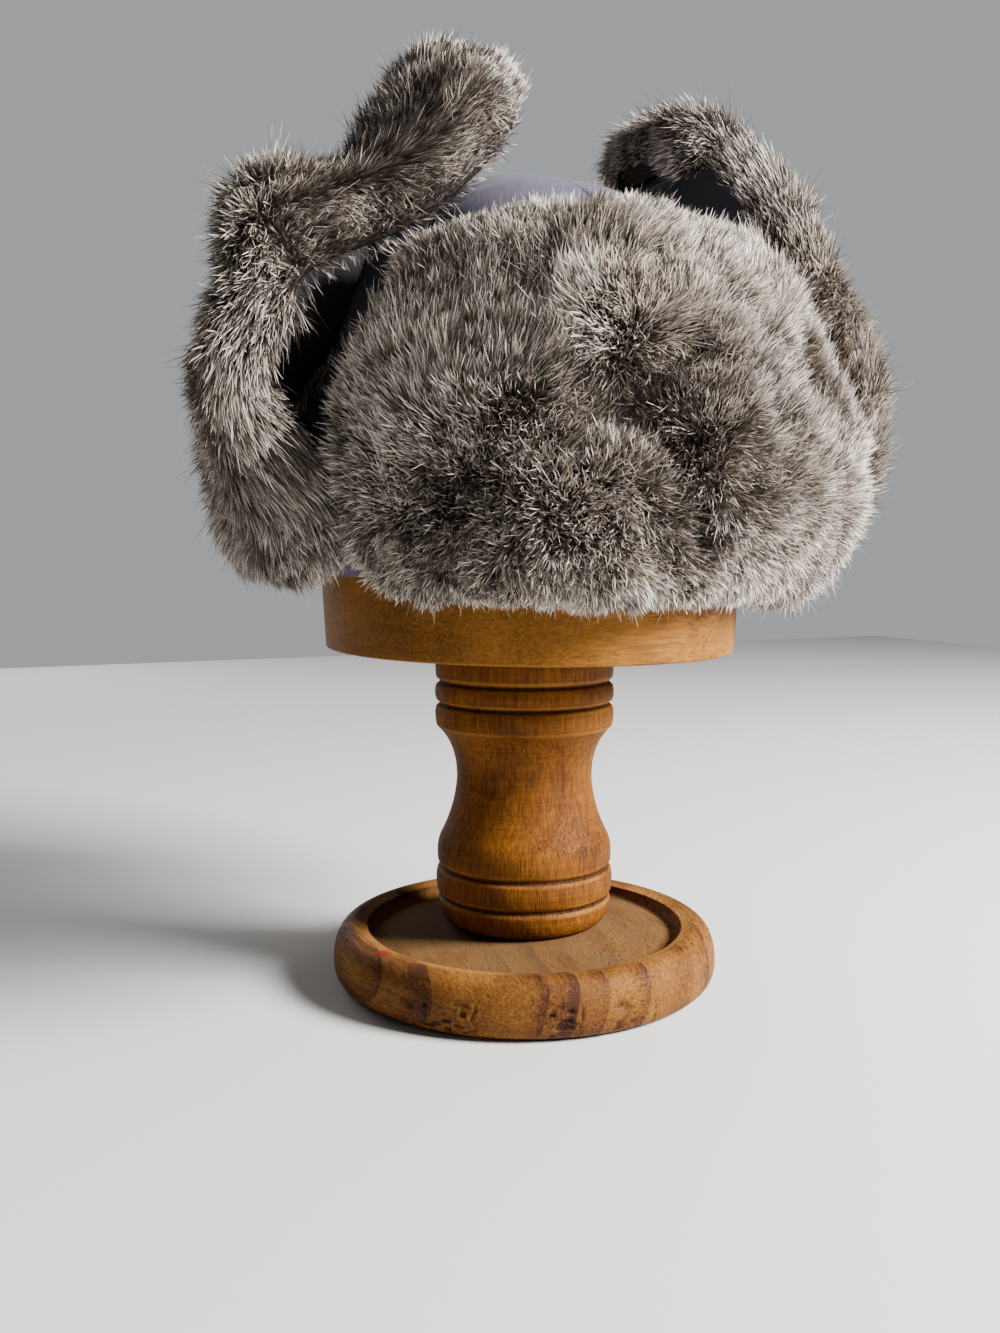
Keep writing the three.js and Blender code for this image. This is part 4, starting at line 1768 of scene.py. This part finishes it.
    def build_fur(self, surface: PeltPoints, number: int) -> None:
        """Builds and dresses one piece of the flap's hairs.

        Args:
            surface: The hide's body.
            number: Which of the flap's fur pieces it is.
        """
        cut, groom = self.cut, self.groom
        seed_step = 100
        draw = np.random.default_rng(seed_step * self.salt + number)
        count = self.hairs // self.fur_pieces
        roots = self.roots(surface, count, draw)
        places = self.flat_places(roots.u, roots.v)
        gathered = self.gathering(places)
        comb, shade = self.combing(roots, places, gathered)
        stray = draw.normal(0.0, cut.stray, (count, 3))
        aim = unit(roots.normal * groom.lift + comb * groom.lay + stray)
        guard = draw.random(count) < cut.guard_share
        size = cut.length * draw.uniform(cut.shortest, cut.longest, count)
        small, large = cut.tuft_sizes
        size *= small + (large - small) * scattered(gathered.tuft, Draw.TUFT_SIZE)
        size *= np.where(guard, cut.guard_length, 1.0) * self.edge_length(roots)
        gather = cut.tuft_pull * gathered.tuft_way + cut.lock_pull * gathered.lock_way
        pull = roots.cross * gather[:, :1] + roots.length * gather[:, 1:]
        sag = comb * cut.droop - roots.normal * cut.settle + draw.normal(0.0, cut.bend, (count, 3))
        levels = np.array([0.0, cut.widest_place, 1.0])
        root = roots.point - roots.normal * cut.sink
        spine = [root + size[:, None] * (aim * t + sag * t * t) + pull * t * t for t in levels]
        side = unit(np.cross(aim, roots.normal + draw.normal(0.0, cut.twist, (count, 3))))
        thick = cut.width / 2 * draw.uniform(cut.thinnest, cut.thickest, count)
        swell = side * (thick * np.where(guard, cut.guard_width, 1.0))[:, None]
        # The whorls' painted shade darkens the hairs' tone in the partings and valleys.
        tone = smooth(*groom.tone_span, self.tones(places, gathered, draw) - shade)
        tone = np.where(guard, np.where(draw.random(count) < cut.dark_guards, 0.0, 1.0), tone)
        outline = np.stack([spine[0], spine[1] - swell, spine[1] + swell, spine[2]], axis=1)
        self.add_fur_piece(number, outline, levels, tone)

    def edge_length(self, roots: PeltPoints) -> Array:
        """Gives how long the hairs are for their places, with other lengths near the pelt's edges.

        Args:
            roots: The hair roots.

        Returns:
            A share of the full length for each hair.
        """
        cut = self.cut
        ends = smooth(0.0, cut.edge_run, roots.v - self.start) * smooth(0.0, cut.edge_run, 1 - roots.v)
        inside = smooth(0.0, cut.edge_depth, roots.share) * ends
        edge = cut.edge_share + sum(fringe.height(roots.v) for fringe in self.fringes)
        return edge + (1 - edge) * inside

    def tones(self, places: Array, gathered: Gathering, draw: np.random.Generator) -> Array:
        """Draws how pale each hair is, by its own chance, its lock, its tuft and its part of the pelt.

        Args:
            places: The hairs' places on the flap laid flat.
            gathered: Their tufts and locks.
            draw: The random draw.

        Returns:
            A paleness for each hair, around the pelt's own.
        """
        groom = self.groom
        mottle = groom.mottle * (soft_noise(places, groom.mottle_size, self.salt) - 0.5)
        tuft = groom.tuft_tone * (scattered(gathered.tuft, Draw.TUFT_TONE) - 0.5)
        lock = groom.lock_tone * (scattered(gathered.lock, Draw.LOCK_TONE) - 0.5)
        return groom.paleness + mottle + tuft + lock + draw.normal(0.0, groom.hair_tone, len(places))

    def add_fur_piece(self, number: int, points: Array, levels: Array, tone: Array) -> None:
        """Makes the mesh of a piece of fur.

        Args:
            number: Which of the flap's fur pieces it is.
            points: Four points for each hair: the root, the two sides where it is widest, and the tip.
            levels: How far along the hair the root, the widest place and the tip are.
            tone: How pale each hair is.
        """
        count, stations = points.shape[:2]
        hair = np.array([0, 2, 1, 1, 2, 3])
        corners = (np.arange(count)[:, None] * stations + hair[None, :]).ravel()
        counts = np.full(2 * count, 3)
        suffix = f"_{number}" if self.fur_pieces > 1 else ""
        piece = new_piece(f"{self.name}_hair{suffix}", points.reshape(-1, 3), corners, counts)
        margin = 0.02
        run = np.tile(margin + (1 - 2 * margin) * levels[[0, 1, 1, 2]], count)
        paleness = np.repeat(np.clip(tone, margin, 1 - margin), stations)
        corner_map(piece, BAKE_MAP, np.stack([run, paleness], axis=-1))
        dress(piece, FUR)

    def build(self) -> None:
        """Builds the hide and the fur."""
        surface = self.surface()
        self.build_hide(surface)
        for number in range(1, self.fur_pieces + 1):
            self.build_fur(surface, number)


@dataclass
class FlapShell:
    """The cloth of an ear flap, which shows on its inner side."""

    name: str
    node: str
    face: Face
    salt: int
    wall: float = 2.0
    columns: int = 36
    rows: int = 80
    fold_height: float = 0.5
    fold_size: float = 18.0
    flap_length: float = 220.0
    half_width: float = 45.0
    hem: float = 2.0
    flat_rim: float = 0.12
    flat_edge: float = 0.2
    weld: float = 0.01
    crease: float = 50.0

    def build(self) -> None:
        """Builds and dresses the cloth, drawn in by its hem."""
        edge = 1 - self.hem / self.half_width
        across = np.linspace(-edge, edge, self.columns + 1)
        u, v = np.meshgrid(across, np.linspace(0.0, 1 - self.hem / self.flap_length, self.rows + 1))
        place = self.face.frame(u, v)
        cloth = np.stack([u * self.half_width, v * self.flap_length], axis=-1)
        inset = smooth(0.0, self.flat_rim, v) * smooth(0.0, self.flat_edge, edge - np.abs(u))
        fold = self.fold_height * inset * (soft_noise(cloth, self.fold_size, self.salt) - 0.5)
        outside = place.point
        inside = place.point - place.out * (self.wall + fold)[..., None]
        middle = place.point - place.out * self.wall / 2
        ring = np.concatenate([outside, inside[:, ::-1]], axis=1)
        ends = [np.concatenate([line, line[::-1]])[None] for line in (middle[0], middle[-1])]
        piece = ringed_piece(f"{self.name}_cloth", np.concatenate([ends[0], ring, ends[1]]))
        flat = np.concatenate([cloth, cloth[:, ::-1]], axis=1)
        flat = np.concatenate([flat[:1], flat, flat[-1:]]) * MM
        corner_map(piece, CLOTH_MAP, flat.reshape(-1, 2))
        face_outwards(piece, self.weld)
        piece.data.set_sharp_from_angle(angle=math.radians(self.crease))
        # The ear flap's cloth is darkened as painted shade for its shadowed inner side.
        dress(piece, SHADED_FLAP_CLOTH, self.node)


@dataclass
class Hat:
    """The ushanka: its crown, the flaps that lie round it and its two ear flaps."""

    crown: Crown = field(default_factory=Crown)
    front_rows: tuple[WrapRow, ...] = (
        WrapRow(173, -0.5, 56, 2),
        WrapRow(198, 5, 60, 24),
        WrapRow(229, 4, 60, 24),
        WrapRow(258, -1, 56, 8),
        WrapRow(280, -9, 48, -2),
    )
    back_rows: tuple[WrapRow, ...] = (
        WrapRow(173, -0.6, 40, 0),
        WrapRow(202, 4, 42, 0),
        WrapRow(232, 4, 40, 0),
        WrapRow(260, 3, 34, 0),
    )
    left_rows: tuple[EarRow, ...] = (
        EarRow(173, 86.6, 14, 42, 5.6, 8.3, 0),
        EarRow(182, 96, 12, 45, 3, 8, 0),
        EarRow(203, 101, 9, 51, 3, 5, 0),
        EarRow(237, 108, 8, 53, 16, 3, 1),
        EarRow(272, 92, 10, 53, 27, 6, 8),
        EarRow(294, 82, 6, 45, 25, 6, 13),
        EarRow(307, 59, -3, 36, 8, 2, 8),
        EarRow(331, 39, -12, 27, -4, 0, 6),
        EarRow(354, 25, -15, 20, -3, 0, 8),
    )
    right_rows: tuple[EarRow, ...] = (
        EarRow(173, 86.5, 14, 42, 5.6, 8.3, 0),
        EarRow(182, 103, 12, 45, 6, 10, 0),
        EarRow(200, 118, 9, 50, 10, 9, 0),
        EarRow(240, 122, 7, 52, 14, 6, 0),
        EarRow(282, 107, 5, 48, 6, 4, 0),
        EarRow(312, 91, 4, 43, 0, 2, 0),
        EarRow(330, 78, 4, 38, -2, 1, 0),
        EarRow(338, 69, 4, 32, 0, 0, 0),
        EarRow(336, 61, 4, 24, 0, 0, 0),
    )
    # The sixth number of each whorl is painted shade that darkens the hair in its parting or valley; the
    # seventh sinks the hide there.
    front_whorls: tuple[Whorl, ...] = (
        Whorl(-0.21, 0.63, 13, 0.5, 0.25, 0.0, -4),
        Whorl(-0.32, 0.54, 7, 0.2, 0.1, 0.3, 6),
        Whorl(-0.22, 0.51, 9, 0.1, 0.0, 0.4, 8),
        Whorl(-0.12, 0.53, 7, 0.1, 0.0, 0.35, 7),
        Whorl(-0.05, 0.58, 7, 0.2, 0.0, 0.3, 6),
        Whorl(-0.26, 0.46, 9, 0.2, 0.1, 0.3, 6),
        Whorl(-0.16, 0.43, 8, 0.1, 0.0, 0.35, 7),
        Whorl(-0.11, 0.37, 7, 0.1, 0.0, 0.35, 7),
        Whorl(-0.08, 0.30, 7, 0.1, 0.0, 0.35, 7),
        Whorl(-0.06, 0.22, 8, 0.2, 0.0, 0.3, 6),
        Whorl(0.01, 0.36, 14, 0.6, -0.3, 0.15, 1),
        Whorl(0.02, 0.36, 5, 0.3, 0.0, 0.3, 4),
        Whorl(-0.18, 0.15, 6, 0.2, 0.1, 0.35, 5),
        Whorl(0.0, 0.16, 7, 0.2, 0.1, 0.3, 5),
        Whorl(0.13, 0.29, 8, 0.3, 0.1, 0.25, 4),
        Whorl(-0.51, 0.44, 11, 0.2, 0.1, 0.22, 5),
        Whorl(-0.68, 0.27, 12, 0.4, 0.2, 0.28, 5),
        Whorl(-0.46, 0.82, 6, 0.1, 0.0, 0.3, 4),
        Whorl(-0.56, 0.78, 7, 0.1, 0.0, 0.25, 4),
        Whorl(0.46, 0.65, 6, 0.1, 0.0, 0.5, 8),
        Whorl(0.53, 0.60, 6, 0.1, 0.0, 0.6, 10),
        Whorl(0.60, 0.55, 6, 0.1, 0.0, 0.6, 10),
        Whorl(0.67, 0.50, 6, 0.1, 0.0, 0.6, 10),
    )
    # As above, the sixth number of each whorl is painted shade.
    shoulder_whorls: tuple[Whorl, ...] = (
        Whorl(-0.5, 0.622, 9, 0.4, 0.0, 0.0, -8),
        Whorl(-0.45, 0.69, 11, 0.2, 0.0, 0.1, 8),
    )
    shoulder: Crest = Crest(0.6, 0.08, 12.0)
    shoulder_fringe: Crest = Crest(0.54, 0.1, 0.8)

    def ear_faces(self) -> tuple[EarFace, EarFace]:
        """Gives the faces of the left and the right ear flap."""
        return EarFace(list(self.left_rows), -1.0), EarFace(list(self.right_rows), 1.0)

    def pelts(self) -> list[Pelt]:
        """Lists the fur of the four flaps.

        Returns:
            The pelts, from the front flap on.
        """
        front = WrapFace(list(self.front_rows), 4.0, 10.0, self.crown)
        back = WrapFace(list(self.back_rows), 180.0, 4.0, self.crown)
        left, right = self.ear_faces()
        front_groom = Groom(
            parting=0.2, parting_width=0.3, spread=0.32, lean=0.18, paleness=0.74, whorls=self.front_whorls,
        )
        back_groom = Groom(parting=0.35, spread=0.5)
        ear_groom = Groom(parting=0.24, spread=0.7, lift=0.56, lay=0.86, paleness=0.66)
        # Painted shade: the left ear's hairs get a lower paleness than the right ear's, darkening that ear
        # where it lies in shade.
        shaded_left_groom = replace(
            ear_groom, parting=0.58, parting_width=0.1, paleness=0.54, whorls=self.shoulder_whorls,
        )
        ear = {
            "half_width": 45.0, "flap_length": 220.0, "hairs": 82000, "start": 0.125,
            "pile": 20.0, "lip": 4.5, "rounding": 0.2, "cut": HairCut(length=10.0, edge_share=0.55),
        }
        return [
            Pelt(
                "front_flap", "front_flap", front, front_groom,
                half_width=100.0, flap_length=115.0, salt=3, hairs=164000, fur_pieces=2,
            ),
            Pelt(
                "back_flap", "back_flap", back, back_groom,
                half_width=68.0, flap_length=90.0, salt=7, hairs=58000,
            ),
            Pelt(
                "left_ear", "left_ear_fur", left, shaded_left_groom, salt=11, back=2.2,
                crests=(self.shoulder,), fringes=(self.shoulder_fringe,), **ear,
            ),
            Pelt("right_ear", "right_ear_fur", right, ear_groom, salt=17, back=1.3, **ear),
        ]

    def shells(self) -> list[FlapShell]:
        """Lists the cloth of the two ear flaps."""
        left, right = self.ear_faces()
        return [
            FlapShell("left_ear", "left_ear_shell", left, salt=31),
            FlapShell("right_ear", "right_ear_shell", right, salt=37),
        ]

    def build(self) -> None:
        """Builds the hat's pieces."""
        self.crown.build()
        for part in [*self.shells(), *self.pelts()]:
            part.build()


# The studio
@dataclass(frozen=True)
class SoftLight:
    """A large soft lamp, placed by how far it stands to the camera's right, towards the camera and up."""

    name: str
    right: float
    nearer: float
    up: float
    size: float
    power: float


@dataclass
class Studio:
    """The floor, the lights and the camera."""

    azimuth: float = -24.0
    distance: float = 0.509
    height: float = 0.181
    aside: float = 0.0102
    pitch: float = 5.6
    focal_pixels: float = 1220.0
    frame_height: float = 1333.0
    sensor: float = 36.0
    aim: float = 0.2
    floor_size: float = 3.0
    sky: Colour = (0.62, 0.64, 0.66)
    sky_power: float = 0.12
    wall_power: float = 0.62
    lights: tuple[SoftLight, ...] = (
        SoftLight("key", 1.2, 0.4, 0.85, 0.5, 116.0),
        SoftLight("top", 0.3, -0.3, 1.5, 1.0, 8.0),
        SoftLight("back", -0.9, -1.2, 0.6, 0.9, 7.0),
    )

    def directions(self) -> tuple[Vector, Vector]:
        """Gives the level directions to the camera's right and towards the camera."""
        turn = math.radians(self.azimuth)
        return Vector((math.cos(turn), math.sin(turn), 0.0)), Vector((math.sin(turn), -math.cos(turn), 0.0))

    def add_camera(self) -> None:
        """Adds the camera at the photograph's viewing angle."""
        right, nearer = self.directions()
        lens = bpy.data.cameras.new("camera")
        lens.sensor_width = self.sensor
        lens.lens = self.focal_pixels / self.frame_height * self.sensor
        camera = bpy.data.objects.new("camera", lens)
        camera.location = nearer * self.distance - right * self.aside + Vector((0.0, 0.0, self.height))
        camera.rotation_euler = (math.radians(90.0 - self.pitch), 0.0, math.radians(self.azimuth))
        bpy.context.scene.collection.objects.link(camera)
        bpy.context.scene.camera = camera

    def add_lights(self) -> None:
        """Adds the soft lamps and the even light all round."""
        right, nearer = self.directions()
        target = Vector((0.0, 0.0, self.aim))
        for light in self.lights:
            lamp = bpy.data.lights.new(light.name, "AREA")
            lamp.size = light.size
            lamp.energy = light.power
            holder = bpy.data.objects.new(light.name, lamp)
            holder.location = right * light.right + nearer * light.nearer + Vector((0.0, 0.0, light.up))
            holder.rotation_euler = (target - holder.location).to_track_quat("-Z", "Y").to_euler()
            holder.visible_camera = False
            bpy.context.scene.collection.objects.link(holder)
        world = bpy.data.worlds.new("sky")
        world.use_nodes = True
        background = world.node_tree.nodes["Background"]
        background.inputs["Color"].default_value = opaque(self.sky)
        graph = Graph(world.node_tree)
        seen = graph.node("ShaderNodeLightPath").outputs["Is Camera Ray"]
        strength = graph.span(seen, (0.0, 1.0), (self.sky_power, self.wall_power))
        graph.feed(background.inputs["Strength"], strength)
        bpy.context.scene.world = world

    def add_floor(self) -> None:
        """Adds the pale floor."""
        half = self.floor_size / 2
        mesh = bpy.data.meshes.new("floor")
        corners = [(-half, -half, 0), (half, -half, 0), (half, half, 0), (-half, half, 0)]
        mesh.from_pydata(corners, [], [(0, 1, 2, 3)])
        floor = bpy.data.objects.new("floor", mesh)
        bpy.context.scene.collection.objects.link(floor)
        floor.data.materials.append(PALE_FLOOR.material())

    def build(self) -> None:
        """Sets up the studio."""
        self.add_floor()
        self.add_lights()
        self.add_camera()


# The finishes of this hat and its stand
BASE_WOOD = WoodFinish(
    "worn base wood", "base_wood", Grain.LENGTHWISE, (150.0, 45.0, 0.0), 16.0,
    dark=(0.045, 0.0145, 0.007), middle=(0.135, 0.05, 0.009), light=(0.23, 0.098, 0.018),
    worn=(0.28, 0.13, 0.034), hollow_colour=(0.028, 0.011, 0.005), ring_share=0.5, pitting=0.9, roughness=(0.5, 0.8),
    stains=(
        Stain((-69.2, -19.7, 23.5), 3.4, (0.16, 0.014, 0.008)),
        Stain((-63.8, -41.3, 22.0), 5.0, (0.05, 0.02, 0.008)),
        Stain((-33.9, 57.2, 22.5), 3.6, (0.012, 0.005, 0.004)),
    ),
)
POST_WOOD = WoodFinish(
    "polished post wood", "post_wood", Grain.UPRIGHT, (14.0, 9.0, 0.0), 7.0,
    dark=(0.038, 0.011, 0.0015), middle=(0.108, 0.034, 0.003), light=(0.19, 0.068, 0.007),
    worn=(0.26, 0.105, 0.017), hollow_colour=(0.025, 0.008, 0.002), ring_share=0.16, pitting=0.6,
    roughness=(0.58, 0.8), flecks=0.4, tooling=0.09,
)
BLOCK_WOOD = WoodFinish(
    "smooth block wood", "block_wood", Grain.CROSSWISE, (60.0, 40.0, 0.0), 9.0,
    dark=(0.085, 0.03, 0.004), middle=(0.19, 0.073, 0.009), light=(0.28, 0.117, 0.018),
    worn=(0.46, 0.225, 0.05), hollow_colour=(0.05, 0.018, 0.005), ring_share=0.14, pitting=0.35,
    roughness=(0.48, 0.7),
)
CROWN_CLOTH = ClothFinish("crown cloth", "crown_cloth", (0.066, 0.051, 0.086), (0.098, 0.08, 0.122), 0.55)
# Painted shade: the ear flaps' cloth is the crown's purple-grey, darkened here almost to black to stand in
# for the shadow on the ear flaps' inner sides.
SHADED_FLAP_CLOTH = ClothFinish("flap cloth with painted shade", "flap_cloth", (0.015, 0.013, 0.022), (0.025, 0.021, 0.035), 0.55)
FUR = FurFinish(
    "rabbit fur", "rabbit_fur",
    pale_hair=[
        (0.0, (0.010, 0.008, 0.006)), (0.36, (0.04, 0.03, 0.023)), (0.58, (0.17, 0.13, 0.099)),
        (0.76, (0.66, 0.56, 0.46)), (0.9, (0.96, 0.88, 0.78)), (1.0, (0.94, 0.85, 0.75)),
    ],
    dark_hair=[
        (0.0, (0.009, 0.007, 0.006)), (0.5, (0.028, 0.021, 0.016)), (0.85, (0.10, 0.074, 0.055)),
        (1.0, (0.03, 0.023, 0.018)),
    ],
)
HIDE = HideFinish("undercoat", "rabbit_fur", (0.008, 0.007, 0.006), (0.04, 0.031, 0.024))
PALE_FLOOR = FloorFinish("pale floor", (0.62, 0.62, 0.61))


def main() -> None:
    """Builds the stand, the hat and the studio."""
    logging.basicConfig(level=logging.INFO, format="%(name)s: %(message)s")
    HatStand().build()
    Hat().build()
    Studio().build()


if __name__ == "__main__":
    main()
